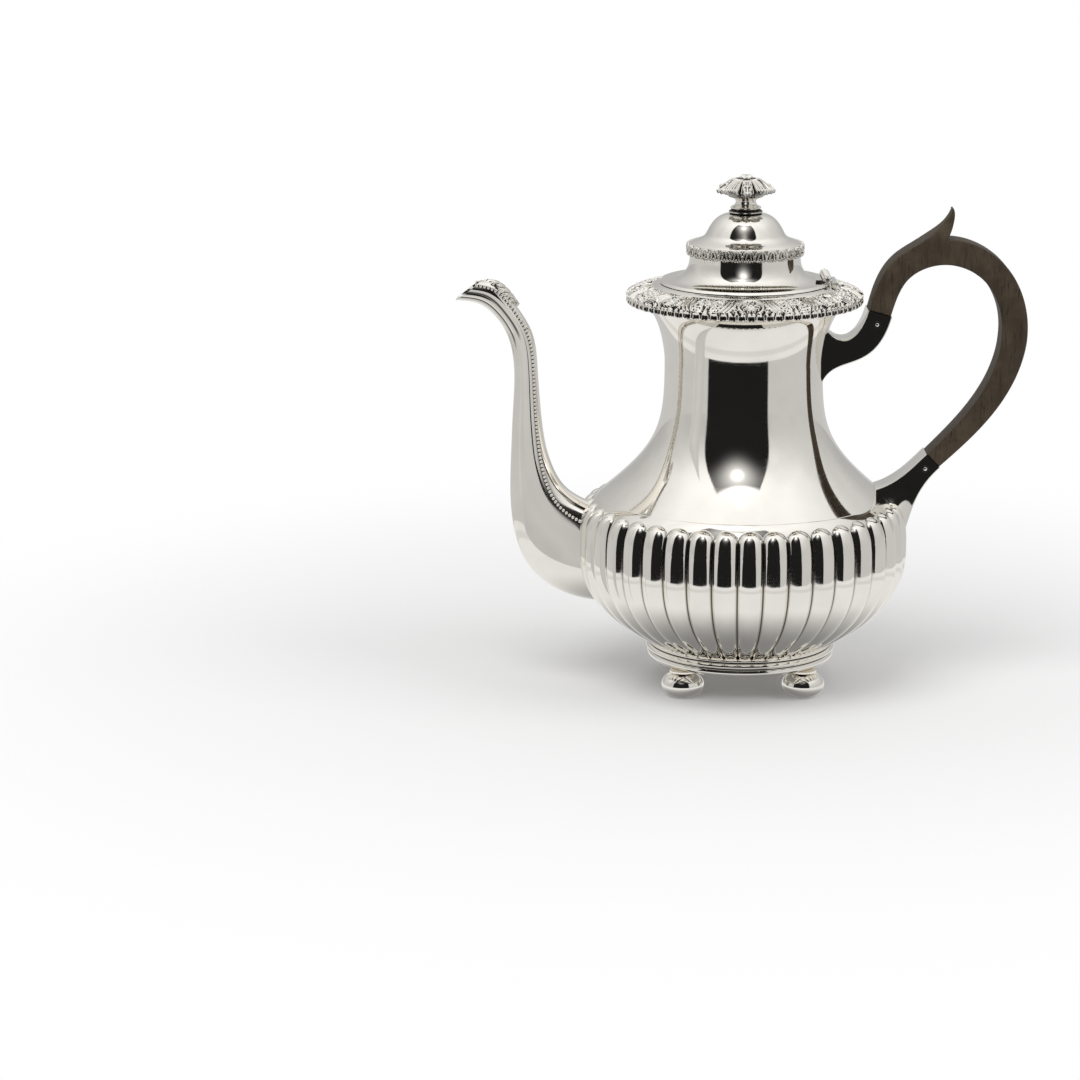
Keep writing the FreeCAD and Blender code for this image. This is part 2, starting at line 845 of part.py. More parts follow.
def make_all():
    pieces = {"bowl": make_bowl(), "neck": make_neck(), "foot_ring": make_foot_ring()}
    for k in range(ball_foot_count):
        pieces["ball_foot_%d" % (k + 1)] = make_ball_foot((k + 0.5) * 360 / ball_foot_count)
    pieces["rim_collar"] = make_rim_collar()
    pieces["rim_border"] = make_rim_border()

    neck_solid = neck_form(solder_gap)
    body_solids = [bowl_form(solder_gap), neck_solid]
    pieces["spout"] = make_spout(body_solids)
    pieces["spout_bead_front"] = make_spout_bead(-1, body_solids)
    pieces["spout_bead_back"] = make_spout_bead(1, body_solids)
    pieces["spout_leaf"] = make_spout_leaf()

    pieces["handle_grip"] = make_grip()
    pieces["handle_upper_socket"] = make_upper_socket(neck_solid)
    pieces["handle_lower_socket"] = make_lower_socket(body_solids)
    pieces["handle_upper_pin"] = make_pin(upper_pin_place())
    pieces["handle_lower_pin"] = make_pin(lower_pin_place())

    pieces["hinge_pot_leaf"] = make_hinge_pot_leaf()
    pieces["hinge_pin"] = make_hinge_pin()
    pieces["hinge_lid_leaf"] = make_hinge_lid_leaf()
    pieces["lid_cover"] = make_lid_cover()
    pieces["lid_bezel"] = make_lid_bezel()
    pieces["lid_border"] = make_lid_border()
    pieces["finial_stem"] = make_finial_stem()
    pieces["finial_flower"] = make_finial_flower()
    pieces["finial_nut"] = make_finial_nut()
    return pieces


os.makedirs("parts", exist_ok=True)
for name, shape in make_all().items():
    shape.exportStep("parts/%s.step" % name)
    box = shape.BoundBox
    print("%-20s %s valid %s volume %.0f x %.1f..%.1f y %.1f..%.1f z %.1f..%.1f" % (
        name, shape.ShapeType, shape.isValid(), shape.Volume, box.XMin, box.XMax, box.YMin, box.YMax,
        box.ZMin, box.ZMax))
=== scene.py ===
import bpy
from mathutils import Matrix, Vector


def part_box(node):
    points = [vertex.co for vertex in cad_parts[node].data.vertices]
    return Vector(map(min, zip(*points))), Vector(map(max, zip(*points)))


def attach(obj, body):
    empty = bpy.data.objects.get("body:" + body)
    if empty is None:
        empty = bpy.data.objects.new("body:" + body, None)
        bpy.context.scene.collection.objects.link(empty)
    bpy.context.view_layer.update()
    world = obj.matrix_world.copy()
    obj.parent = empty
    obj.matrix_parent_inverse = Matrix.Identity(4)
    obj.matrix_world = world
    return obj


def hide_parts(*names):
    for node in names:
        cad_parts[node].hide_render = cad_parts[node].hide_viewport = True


bl_info = {
    "name": "Silver coffee pot",
    "version": (1, 0, 0),
    "blender": (4, 5, 0),
    "location": "View3D > Sidebar > Coffee pot",
    "description": "Dresses the frame of a lobed silver coffee pot with its fine shapes and finishes",
    "category": "Object",
}

from math import asin, cos, pi, radians, sin, tan, tau

import bmesh
import bpy
import numpy as np
from mathutils import Euler

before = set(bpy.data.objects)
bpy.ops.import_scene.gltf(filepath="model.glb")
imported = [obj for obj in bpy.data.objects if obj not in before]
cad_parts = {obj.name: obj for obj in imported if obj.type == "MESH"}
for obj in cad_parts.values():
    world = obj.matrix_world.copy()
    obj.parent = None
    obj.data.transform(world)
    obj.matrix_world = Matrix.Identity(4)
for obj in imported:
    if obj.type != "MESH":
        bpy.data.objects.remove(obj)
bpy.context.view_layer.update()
MM = 0.001
FINISH_MARK = "_finish"


def low(node, axis=2):
    """Lowest coordinate of a CAD node in millimetres."""
    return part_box(node)[0][axis] / MM


def high(node, axis=2):
    """Highest coordinate of a CAD node in millimetres."""
    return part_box(node)[1][axis] / MM


# Levels and places that come from the frame, in millimetres
BASE = low("bowl")
RING_BOTTOM = low("foot_ring")
RING_TOP = high("foot_ring")
RING_RADIUS = high("foot_ring", 0)
SEAM = high("bowl")
LIP = high("neck")
RIM = high("rim_collar")
LID_FLANGE = low("lid_cover")
LID_TOP = high("lid_cover")
STEM_TOP = high("finial_stem")
FLOWER_TOP = high("finial_flower")
HINGE_X = (low("hinge_pin", 0) + high("hinge_pin", 0)) / 2
HINGE_Z = (low("hinge_pin") + high("hinge_pin")) / 2
HINGE_HALF = high("hinge_pin", 1)

# Powers that shape the bowl below and above its belly, and the round of a lobe
BELLY_FULLNESS = 2.45
SHOULDER_TURN = 4.0
LOBE_ROUND = 2.5


def length(name, description, millimetres):
    return bpy.props.FloatProperty(name=name, description=description, default=millimetres * MM, min=0.0,
                                   unit="LENGTH", precision=4)


def angle(name, description, degrees):
    return bpy.props.FloatProperty(name=name, description=description, default=radians(degrees),
                                   subtype="ANGLE")


def count(name, description, number):
    return bpy.props.IntProperty(name=name, description=description, default=number, min=1)


def colour(name, description, value):
    return bpy.props.FloatVectorProperty(name=name, description=description, default=value, subtype="COLOR",
                                         size=3, min=0.0, max=1.0)


def tone(name, description, level):
    return bpy.props.FloatProperty(name=name, description=description, default=level, min=0.0)


class CoffeePotSizes(bpy.types.PropertyGroup):
    sheet: length("Sheet", "Thickness of the raised silver sheet", 1.2)
    gap: length("Solder gap", "Gap of a soldered joint in the frame", 0.05)

    bowl_radius: length("Bowl radius", "Radius of the bowl over the lobes at the belly", 80.5)
    bowl_foot_radius: length("Bowl foot radius", "Radius of the lobes where they meet the foot ring", 43.4)
    belly_rise: length("Belly rise", "Height of the belly above the foot ring", 46.6)
    lobe_count: count("Lobes", "Number of lobes round the bowl", 40)
    lobe_depth: length("Lobe depth", "Depth of the grooves between the lobes at the belly", 3.0)
    lobe_dive: length("Lobe dive", "How far the lobes dive under the shoulder", 2.0)
    lobe_turn: length("Lobe turn", "Depth below the seam at which the lobes turn in", 14.5)
    lobe_end: length("Lobe end", "Depth below the seam at which the lobes end", 3.1)

    shoulder_radius: length("Shoulder radius", "Radius of the seam between bowl and neck", 68.9)
    shoulder_slope: angle("Shoulder slope", "Slope of the neck at the seam", 40.0)
    shoulder_pull: length("Shoulder pull", "How long the neck keeps the slope of the shoulder", 37.6)
    waist_radius: length("Waist radius", "Radius of the neck at its waist", 38.2)
    waist_rise: length("Waist rise", "Height of the waist above the seam", 65.5)
    waist_pull: length("Waist pull", "How long the neck stays upright below its waist", 32.0)
    flare_pull: length("Flare pull", "How long the neck stays upright above its waist", 5.0)
    lip_radius: length("Lip radius", "Radius of the neck's lip under the rim border", 53.0)
    lip_pull: length("Lip pull", "How long the lip runs level", 11.9)

    lower_groove: length("Lower groove", "Height of the foot ring's lower groove above its bottom", 3.8)
    upper_groove: length("Upper groove", "Height of the foot ring's upper groove above its bottom", 7.0)
    reed_bulge: length("Reed bulge", "How far the reeds stand out from their grooves", 1.7)
    ring_breadth: length("Ring breadth", "Breadth of the foot ring", 8.0)
    ball_neck: length("Ball neck", "Radius of a ball foot where it meets the ring", 6.4)

    mouth_radius: length("Mouth radius", "Radius of the opening under the lid", 39.4)
    mouth_seat: length("Mouth seat", "Breadth of the flat that the lid rests on", 2.4)
    mouth_slope: length("Mouth slope", "Fall of the ring outside that flat", 1.2)
    border_repeats: count("Border repeats", "Repeats of the rim border's ornament", 8)
    border_rise: length("Border rise", "Height of the rim border's ornament", 1.9)
    border_slots: count("Border slots", "Pairs of slots under each repeat of the rim border", 10)

    lid_radius: length("Lid radius", "Radius of the lid's flange", 41.0)
    lid_flat: length("Lid flat", "Breadth of the flange's flat", 4.0)
    lid_waist_radius: length("Lid waist radius", "Radius of the lid below its border", 26.6)
    lid_waist_rise: length("Lid waist rise", "Height of the waist above the flange", 11.0)
    lid_band: length("Lid band", "Height of the upright band behind the lid's border", 6.6)
    lid_step_radius: length("Lid step radius", "Radius at the foot of the lid's dome", 18.8)
    lid_step_rise: length("Lid step rise", "Height of the dome's foot above the band", 4.8)
    lid_flank: angle("Lid flank", "Slope of the dome at its foot", 63.0)
    lid_crown: length("Lid crown", "Radius of the flat on top of the dome", 6.2)
    lid_border_repeats: count("Lid border repeats", "Repeats of the lid border's ornament", 30)
    lid_border_rise: length("Lid border rise", "Height of the lid border's ornament", 1.2)

    stem_foot: length("Stem foot", "Radius of the finial's lowest moulding", 7.8)
    stem_ring: length("Stem ring", "Radius of the finial's ring", 7.4)
    stem_neck: length("Stem neck", "Radius of the finial's neck", 4.9)
    stem_seat: length("Stem seat", "Radius of the stem under the flower", 8.1)
    stud_radius: length("Stud", "Radius of the finial's stud", 1.9)
    nut_corner: length("Nut", "Radius over the corners of the finial's nut", 4.6)
    flower_radius: length("Flower radius", "Reach of the finial's petals", 15.0)
    flower_leaf: angle("Flower leaf", "Half the spread of a narrow petal", 18.5)

    knuckle_radius: length("Knuckle radius", "Radius of the hinge's barrel", 2.3)
    knuckle_bore: length("Knuckle bore", "Radius of the hole through the barrel", 1.05)
    hinge_gap: length("Hinge gap", "Gap between neighbouring knuckles", 0.3)
    hinge_leaf: length("Hinge leaf", "Thickness of the hinge's leaves", 1.0)
    hinge_room: length("Hinge room", "Distance from the hinge's axis to its leaves", 2.6)
    pin_cap: length("Pin cap", "Height of the berried heads of the hinge's pin", 1.8)

    spout_wall: length("Spout wall", "Thickness of the spout's wall", 1.2)
    leaf_length: length("Leaf length", "Length of the leaf on the spout's tip", 21.0)
    leaf_breadth: length("Leaf breadth", "Breadth of that leaf, laid flat", 10.0)
    bead_line: angle("Bead line", "Turn from the spout's inner edge to its bead wires", 52.0)
    bead_radius: length("Bead radius", "Radius of the beads along the spout", 0.9)
    bead_pitch: length("Bead pitch", "Distance between two beads along the spout", 1.9)

    grip_width: length("Grip width", "Width of the wooden grip across its bend", 12.4)
    grip_upper_width: length("Grip upper width", "Width of the grip at the upper socket", 10.7)
    grip_lower_width: length("Grip lower width", "Width of the grip at the lower socket", 8.4)
    grip_thickness: length("Grip thickness", "Thickness of the wooden grip from side to side", 16.0)
    grip_round: length("Grip rounding", "Rounding of the grip's long edges", 0.8)
    spur_height: length("Spur height", "Height of the thumb spur above the grip", 14.6)
    spur_length: length("Spur length", "Length of the thumb spur along the grip", 14.0)
    socket_overhang: length("Socket overhang", "How far the sockets stand proud of the grip", 0.6)
    socket_round: length("Socket rounding", "Rounding of the sockets' edges", 0.5)
    upper_root_sink: length("Upper root sink", "How far the upper socket's root reaches into the neck", 3.6)
    upper_root_top: length("Upper root top", "Height of the upper socket's root above the waist", 26.1)
    upper_root_foot: length("Upper root foot", "Depth of the upper socket's root below the waist", 26.2)
    lower_root_sink: length("Lower root sink", "How far the lower socket reaches into the shoulder", 7.2)
    lower_root_top: length("Lower root top", "Height of the lower socket's root above the seam", 2.8)
    lower_root_foot: length("Lower root foot", "Depth of the lower socket's root below the seam", 19.0)
    lower_root_front: length("Lower root front", "How far the root's foot stands out from its top", 16.4)
    socket_flare: length("Socket flare", "How far the lower socket's sides spread at its root", 4.6)
    flare_reach: length("Flare reach", "Length of the spread at the lower socket's root", 16.0)
    tenon: length("Tenon", "Length of the grip's tenons in the sockets", 11.0)
    pin_radius: length("Pin radius", "Radius of the handle's pins", 1.2)
    pin_head: length("Pin head", "Radius of the pins' heads", 1.7)
    pin_head_rise: length("Pin head rise", "Height of the pins' heads", 0.6)


class CoffeePotFinishes(bpy.types.PropertyGroup):
    silver: colour("Silver", "Polished silver", (0.92, 0.89, 0.83))
    # Also the colour of the painted shade that pieces mark in creases, grooves, slots and on the bead wires
    recess: colour("Recess", "Oxide in the recesses of the castings", (0.055, 0.049, 0.043))
    wood: colour("Wood", "Dark stained wood", (0.034, 0.0255, 0.0165))
    wood_worn: colour("Worn wood", "Wood where hands have worn the stain", (0.072, 0.053, 0.034))
    pin: colour("Pins", "Bright metal of the pins", (0.86, 0.85, 0.82))
    floor: colour("Floor", "Pale floor", (0.86, 0.86, 0.86))


class CoffeePotStage(bpy.types.PropertyGroup):
    camera_place: bpy.props.FloatVectorProperty(
        name="Camera place", description="Where the camera stands", default=(-0.0985, -1.6655, 0.4736),
        subtype="TRANSLATION", size=3)
    camera_pitch: angle("Camera pitch", "How far the camera looks down", 13.6)
    camera_lens: bpy.props.FloatProperty(
        name="Lens", description="Focal length in millimetres", default=116.67, subtype="DISTANCE_CAMERA")
    table_radius: length("Table radius", "Radius of the table that the silver reflects", 450.0)
    table_drop: length("Table drop", "Depth of that table below the feet", 44.0)
    table_tone: tone("Table tone", "Brightness of that table", 0.84)
    # Painted shadow under the pot on that table
    table_shade: tone("Table shade", "Brightness of the table under the pot", 0.24)
    table_band: tone("Table band", "Brightness of the band near the table's edge", 0.72)
    beyond_tone: tone("Beyond tone", "Brightness of the ground beyond the table", 0.6)
    wall_low: tone("Wall below", "Brightness of the walls near the ground", 0.58)
    wall_high: tone("Wall above", "Brightness of the walls at their top", 1.06)
    wall_back: tone("Wall behind", "Share of that brightness behind the pot", 0.84)
    soft_light: tone("Soft light", "Brightness of the room on what doesn't shine", 0.62)
    bay_turn: angle("Bay turn", "Direction of the dark bay's middle, from straight in front", -11.5)
    bay_half: angle("Bay half width", "Half the width of the dark bay near the floor", 43.5)
    bay_spread: angle("Bay spread", "How much wider each half of the bay is near its top", 4.0)
    bay_top: angle("Bay top", "Elevation of the dark bay's top", 72.0)
    bay_edge: angle("Bay edge", "Softness of the dark bay's edges", 1.2)
    bay_tone: tone("Bay tone", "Brightness of the dark bay", 0.013)
    lamp_turn: angle("Lamp turn", "Direction of the reflected lamp", -12.0)
    lamp_rise: angle("Lamp rise", "Elevation of the reflected lamp", 62.8)


class Millimetres:
    """The pot's sizes under the same names, with lengths in millimetres."""

    def __init__(self, sizes):
        for prop in sizes.bl_rna.properties:
            if prop.identifier in sizes.__annotations__:
                value = getattr(sizes, prop.identifier)
                is_length = prop.type == "FLOAT" and prop.unit == "LENGTH"
                setattr(self, prop.identifier, value / MM if is_length else value)


# Curves and meshes


def bezier(a, b, c, d, steps=24):
    """Points of a cubic curve."""
    t = np.linspace(0.0, 1.0, steps + 1)[:, None]
    a, b, c, d = (np.array(p, float) for p in (a, b, c, d))
    return a * (1 - t) ** 3 + 3 * b * t * (1 - t) ** 2 + 3 * c * t ** 2 * (1 - t) + d * t ** 3


def bow(a, swell, b, steps=10):
    """Round stretch from a to b that passes through swell half way."""
    a, swell, b = (np.array(p, float) for p in (a, swell, b))
    t = np.linspace(0.0, 1.0, steps + 1)[:, None]
    middle = 2 * swell - (a + b) / 2
    return a * (1 - t) ** 2 + 2 * middle * t * (1 - t) + b * t ** 2


def outline(*stretches):
    """One list of points from curves and single points, without doubled points."""
    points = []
    for stretch in stretches:
        for p in np.atleast_2d(np.array(stretch, float)):
            if not points or np.hypot(*(p - points[-1])) > 1e-6:
                points.append(p)
    return np.array(points)


def run_length(points):
    """Distance along a line of points from its start."""
    return np.concatenate([[0.0], np.cumsum(np.linalg.norm(np.diff(points, axis=0), axis=1))])


def smooth_line(points, steps):
    """Natural cubic spline through the points, on the chord length of their first two columns."""
    points = np.array(points, float)
    chord = np.linalg.norm(np.diff(points[:, :2], axis=0), axis=1)
    at = np.concatenate([[0.0], np.cumsum(chord)])
    n = len(at)
    matrix = np.zeros((n, n))
    right = np.zeros((n, points.shape[1]))
    matrix[0, 0] = matrix[-1, -1] = 1.0
    for k in range(1, n - 1):
        before, after = chord[k - 1], chord[k]
        matrix[k, k - 1:k + 2] = before, 2 * (before + after), after
        right[k] = 6 * ((points[k + 1] - points[k]) / after - (points[k] - points[k - 1]) / before)
    bend = np.linalg.solve(matrix, right)
    where = np.linspace(0.0, at[-1], steps + 1)
    index = np.clip(np.searchsorted(at, where, side="right") - 1, 0, n - 2)
    span = (at[index + 1] - at[index])[:, None]
    left = (at[index + 1] - where)[:, None]
    gone = (where - at[index])[:, None]
    curved = (bend[index] * left ** 3 + bend[index + 1] * gone ** 3) / (6 * span)
    before = (points[index] / span - bend[index] * span / 6) * left
    after = (points[index + 1] / span - bend[index + 1] * span / 6) * gone
    return curved + before + after


def smoothstep(value, start, end):
    t = np.clip((value - start) / (end - start), 0.0, 1.0)
    return t * t * (3 - 2 * t)


def hump(value, middle, width):
    """Smooth bump of height one."""
    return np.exp(-((value - middle) / width) ** 2)


def lattice(rows, columns, close_rows=False, close_columns=True):
    """Four-cornered faces over a lattice of points."""
    index = np.arange(rows * columns).reshape(rows, columns)
    if close_rows:
        index = np.vstack([index, index[:1]])
    if close_columns:
        index = np.hstack([index, index[:, :1]])
    corners = [index[:-1, :-1], index[:-1, 1:], index[1:, 1:], index[1:, :-1]]
    return np.stack(corners, -1).reshape(-1, 4)


def ring_angles(columns):
    """Directions round the pot, from straight in front."""
    return np.arange(columns) / columns * tau - pi / 2


def spin(points, angles):
    """Lattice of points from an outline of radius and height turned about the pot's axis."""
    radius = points[:, :1]
    height = points[:, 1:] + 0 * angles
    return np.stack([radius * np.cos(angles), radius * np.sin(angles), height], -1)


def raised_spin(points, raised, angles):
    """Lattice of a turned outline, drawn downwards on the outside, whose points stand proud by raised."""
    tangent = np.gradient(points, axis=0)
    tangent /= np.linalg.norm(tangent, axis=1)[:, None]
    radius = points[:, :1] - raised * tangent[:, 1:]
    height = points[:, 1:] + raised * tangent[:, :1]
    return np.stack([radius * np.cos(angles), radius * np.sin(angles), height], -1)


def lay_along_y(grid, x, z):
    """Turns a lattice about the pot's axis into one about a line along Y."""
    return np.stack([grid[..., 0] + x, grid[..., 2], grid[..., 1] + z], -1)


def add_piece(name, points, faces, finish, body, node, dark=None, crease=35.0):
    """Makes one piece of the dressed pot, which stands for its CAD node and moves with its body."""
    points = np.asarray(points, float).reshape(-1, 3)
    mesh = bpy.data.meshes.new(name)
    mesh.from_pydata((points * MM).tolist(), [], [list(face) for face in faces])
    if dark is not None:
        # Darkness of each point: oxide in the ornament, painted shade in creases, grooves and slots
        layer = mesh.attributes.new("recess", "FLOAT", "POINT")
        layer.data.foreach_set("value", np.asarray(dark, np.float32).reshape(-1))
    return finish_piece(mesh, name, finish, body, node, crease)


def finish_piece(mesh, name, finish, body, node, crease):
    """Smooths a mesh and hands it to the frame, with its finish as the mesh's material."""
    weld(mesh)
    mesh.polygons.foreach_set("use_smooth", np.ones(len(mesh.polygons), bool))
    mesh.set_sharp_from_angle(angle=radians(crease))
    mesh.materials.append(finish)
    piece = bpy.data.objects.new(name, mesh)
    bpy.context.scene.collection.objects.link(piece)
    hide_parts(node)
    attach(piece, body)
    return piece


def weld(mesh):
    """Joins points that lie on one another, such as those on the axis, and turns the faces outwards."""
    work = bmesh.new()
    work.from_mesh(mesh)
    bmesh.ops.remove_doubles(work, verts=work.verts, dist=1e-7)
    bmesh.ops.dissolve_degenerate(work, edges=work.edges, dist=1e-8)
    bmesh.ops.recalc_face_normals(work, faces=work.faces)
    work.to_mesh(mesh)
    work.free()


def add_turned(name, points, finish, body, node, columns=192, dark=None, crease=35.0):
    """Piece turned from a closed outline, with a darkness value for each point of the outline, which here
    marks painted shade in grooves.
    """
    grid = spin(points, ring_angles(columns))
    shade = None if dark is None else np.asarray(dark)[:, None] + np.zeros((1, columns))
    faces = lattice(len(points), columns, close_rows=True)
    return add_piece(name, grid, faces, finish, body, node, shade, crease)


# Ornament, drawn as relief on a flat patch


class Relief:
    """Heights over a flat patch, built up from ridges and mounds."""

    def __init__(self, width, depth, step):
        self.step, self.width, self.depth = step, width, depth
        self.u, self.v = np.meshgrid(np.arange(0.0, width + step, step), np.arange(0.0, depth + step, step))
        self.height = np.zeros_like(self.u)

    def raise_to(self, height):
        self.height = np.maximum(self.height, height)

    def ridge(self, path, start, end, rise, groove=0.0):
        """Round ridge along a path, with its half width from start to end."""
        path = np.array(path, float)
        steps = len(path) - 1
        best = np.zeros_like(self.u)
        for k in range(steps):
            a, b = path[k], path[k + 1]
            along = b - a
            t = ((self.u - a[0]) * along[0] + (self.v - a[1]) * along[1]) / max(along @ along, 1e-9)
            t = np.clip(t, 0.0, 1.0)
            away = np.hypot(self.u - a[0] - t * along[0], self.v - a[1] - t * along[1])
            wide = start + (end - start) * (k + t) / steps
            q = np.clip(away / np.maximum(wide, 1e-6), 0.0, 1.0)
            shape = np.sqrt(1 - q * q) * (0.55 + 0.45 * wide / max(start, end))
            shape = shape * (1 - groove * np.exp(-(q / 0.22) ** 2))
            best = np.maximum(best, shape)
        self.raise_to(best * rise)

    def mound(self, place, radius, rise):
        q = np.hypot(self.u - place[0], self.v - place[1]) / radius
        self.raise_to(rise * np.sqrt(np.clip(1 - q * q, 0.0, 1.0)))

    def leaf(self, root, tip, swing, width, rise, pairs=3):
        """Leaf with a grooved midrib and side lobes that curl forwards."""
        root, tip = np.array(root, float), np.array(tip, float)
        along = tip - root
        side = np.array([-along[1], along[0]])
        middle = bow(root, (root + tip) / 2 + side * swing, tip, 8)
        self.ridge(middle, 0.55 * width, 0.35 * width, rise, groove=0.45)
        for k in range(pairs):
            at = middle[min(1 + k * 6 // pairs, 7)]
            ahead = middle[min(2 + k * 6 // pairs, 8)] - at
            ahead = ahead / max(np.hypot(*ahead), 1e-9)
            reach = width * (1.55 - 0.28 * k)
            for hand in (-1.0, 1.0):
                out = np.array([-ahead[1], ahead[0]]) * hand
                knee = at + (out * 0.75 + ahead * 0.35) * reach
                end = at + (out * 0.95 + ahead * 1.15) * reach
                self.ridge(bow(at, knee, end, 5), 0.42 * width, 0.34 * width, 0.86 * rise, groove=0.3)

    def scroll(self, path, width, rise, eye):
        """Band that ends in a round eye."""
        self.ridge(path, 0.75 * width, width, rise, groove=0.4)
        self.mound(path[-1], eye, rise * 1.08)

    def rosette(self, centre, radius, petals, rise):
        for k in range(petals):
            turn = tau * k / petals
            tip = (centre[0] + 0.72 * radius * cos(turn), centre[1] + 0.72 * radius * sin(turn))
            self.ridge([centre, tip], 0.1 * radius, 2.0 * radius / petals, rise * 0.95, groove=0.3)
        self.mound(centre, 0.3 * radius, rise * 1.15)

    def blurred(self, reach):
        """Mean height of the neighbourhood."""
        n = max(1, int(reach / self.step))
        field = self.height
        for axis in (0, 1):
            padded = np.pad(field, [(n, n) if a == axis else (0, 0) for a in (0, 1)], mode="edge")
            total = np.cumsum(padded, axis=axis)
            zero = np.zeros_like(np.take(total, [0], axis=axis))
            total = np.concatenate([zero, total], axis=axis)
            size = field.shape[axis]
            upper = np.take(total, range(2 * n + 1, 2 * n + 1 + size), axis=axis)
            field = (upper - np.take(total, range(size), axis=axis)) / (2 * n + 1)
        return field

    def recesses(self, rise):
        """One in the deep places, where oxide stays, and zero on the polished tops."""
        shallow = 1 - smoothstep(self.height, 0.05 * rise, 0.5 * rise)
        hollow = smoothstep(self.blurred(0.9) - self.height, 0.04 * rise, 0.3 * rise)
        return np.clip(np.maximum(shallow, hollow), 0.0, 1.0)

    def sample(self, field, u, v):
        """Values of a field at places on the patch."""
        rows, columns = field.shape
        x = np.clip(u / self.step, 0, columns - 1.001)
        y = np.clip(v / self.step, 0, rows - 1.001)
        i, j = np.floor(y).astype(int), np.floor(x).astype(int)
        p, q = y - i, x - j
        upper = field[i, j] * (1 - q) + field[i, j + 1] * q
        lower = field[i + 1, j] * (1 - q) + field[i + 1, j + 1] * q
        return upper * (1 - p) + lower * p

    def wrapped(self, field, along, repeats, columns):
        """A field laid round a ring, where each repeat is the patch and its mirror image."""
        sector = np.arange(columns) / columns * repeats
        u = np.abs(sector - np.round(sector)) * 2 * self.width
        return self.sample(field, u[None, :] + 0 * along[:, None], along[:, None] + 0 * u[None, :])


# Finishes


class Nodes:
    """Short way to lay out shader nodes."""

    def __init__(self, tree):
        self.tree = tree
        tree.nodes.clear()

    def add(self, kind, **settings):
        node = self.tree.nodes.new(kind)
        for key, value in settings.items():
            setattr(node, key, value)
        return node

    def feed(self, socket, value):
        """Sets a socket from a constant or from another node's output."""
        if isinstance(value, bpy.types.NodeSocket):
            self.tree.links.new(value, socket)
        else:
            socket.default_value = value

    def give(self, node, **values):
        """Sets a node's sockets by name."""
        for key, value in values.items():
            self.feed(node.inputs[key.replace("_", " ")], value)
        return node

    def math(self, operation, a, b=0.0, clamp=False):
        node = self.add("ShaderNodeMath", operation=operation, use_clamp=clamp)
        self.feed(node.inputs[0], a)
        self.feed(node.inputs[1], b)
        return node.outputs[0]

    def plus(self, a, b):
        return self.math("ADD", a, b)

    def minus(self, a, b):
        return self.math("SUBTRACT", a, b)

    def times(self, a, b):
        return self.math("MULTIPLY", a, b)

    def halo(self, aside, wide, above, tall):
        """Soft round fall from one, with its half width and half height."""
        across = self.math("POWER", self.math("DIVIDE", aside, wide), 2.0)
        along = self.math("POWER", self.math("DIVIDE", above, tall), 2.0)
        return self.math("EXPONENT", self.times(self.plus(across, along), -1.0))

    def span(self, value, start, end, first=0.0, last=1.0):
        """Smooth change from first to last while a value goes from start to end."""
        node = self.add("ShaderNodeMapRange", interpolation_type="SMOOTHSTEP")
        self.give(node, Value=value, From_Min=start, From_Max=end, To_Min=first, To_Max=last)
        return node.outputs["Result"]

    def mix(self, factor, first, second):
        node = self.add("ShaderNodeMix", data_type="FLOAT")
        return self.give(node, Factor=factor, A=first, B=second).outputs["Result"]

    def blend(self, factor, first, second):
        """Mix of two colours."""
        node = self.give(self.add("ShaderNodeMix", data_type="RGBA"), Factor=factor)
        for socket, value in ((node.inputs["A"], first), (node.inputs["B"], second)):
            self.feed(socket, value if isinstance(value, bpy.types.NodeSocket) else (*value, 1.0))
        return node.outputs["Result"]

    def noise(self, vector, scale, detail, roughness=0.5):
        node = self.add("ShaderNodeTexNoise")
        self.give(node, Vector=vector, Scale=scale, Detail=detail, Roughness=roughness)
        return node.outputs["Fac"]

    def stretched(self, vector, scale, rotation=(0.0, 0.0, 0.0)):
        node = self.add("ShaderNodeMapping")
        return self.give(node, Vector=vector, Scale=scale, Rotation=rotation).outputs["Vector"]

    def bump(self, height, strength, distance):
        node = self.give(self.add("ShaderNodeBump"), Height=height, Strength=strength, Distance=distance)
        return node.outputs["Normal"]

    def place(self):
        return self.add("ShaderNodeTexCoord").outputs["Object"]

    def recess(self):
        """How dark its piece marks a point: oxide deep in the ornament, and painted shade in creases,
        grooves, slots and on the bead wires.
        """
        return self.add("ShaderNodeAttribute", attribute_name="recess").outputs["Fac"]

    def split(self, vector):
        return self.give(self.add("ShaderNodeSeparateXYZ"), Vector=vector).outputs

    def distance(self, place):
        node = self.add("ShaderNodeVectorMath", operation="LENGTH")
        self.feed(node.inputs[0], place)
        return node.outputs["Value"]

    def principled(self, **values):
        return self.give(self.add("ShaderNodeBsdfPrincipled"), **values)

    def emission(self, strength):
        return self.give(self.add("ShaderNodeEmission"), Strength=strength)

    def mixed(self, factor, first, second):
        """Mix of two shaders."""
        node = self.give(self.add("ShaderNodeMixShader"), Fac=factor)
        self.feed(node.inputs[1], first.outputs[0])
        self.feed(node.inputs[2], second.outputs[0])
        return node

    def surface(self, shader):
        self.feed(self.add("ShaderNodeOutputMaterial").inputs["Surface"], shader.outputs[0])


def dimmed(value, share):
    return tuple(share * c for c in value)


def new_finish(name):
    """A finish without nodes, and the means to lay them out."""
    finish = bpy.data.materials.new(name)
    finish.use_nodes = True
    return finish, Nodes(finish.node_tree)


def made_once(lay_out):
    """Makes a finish the first time that a piece asks for it, and hands out the same one after that."""
    name = lay_out.__name__ + FINISH_MARK

    def hand_out(finishes):
        finish = bpy.data.materials.get(name)
        if finish is None:
            finish, nodes = new_finish(name)
            nodes.surface(lay_out(nodes, finishes))
        return finish

    return hand_out


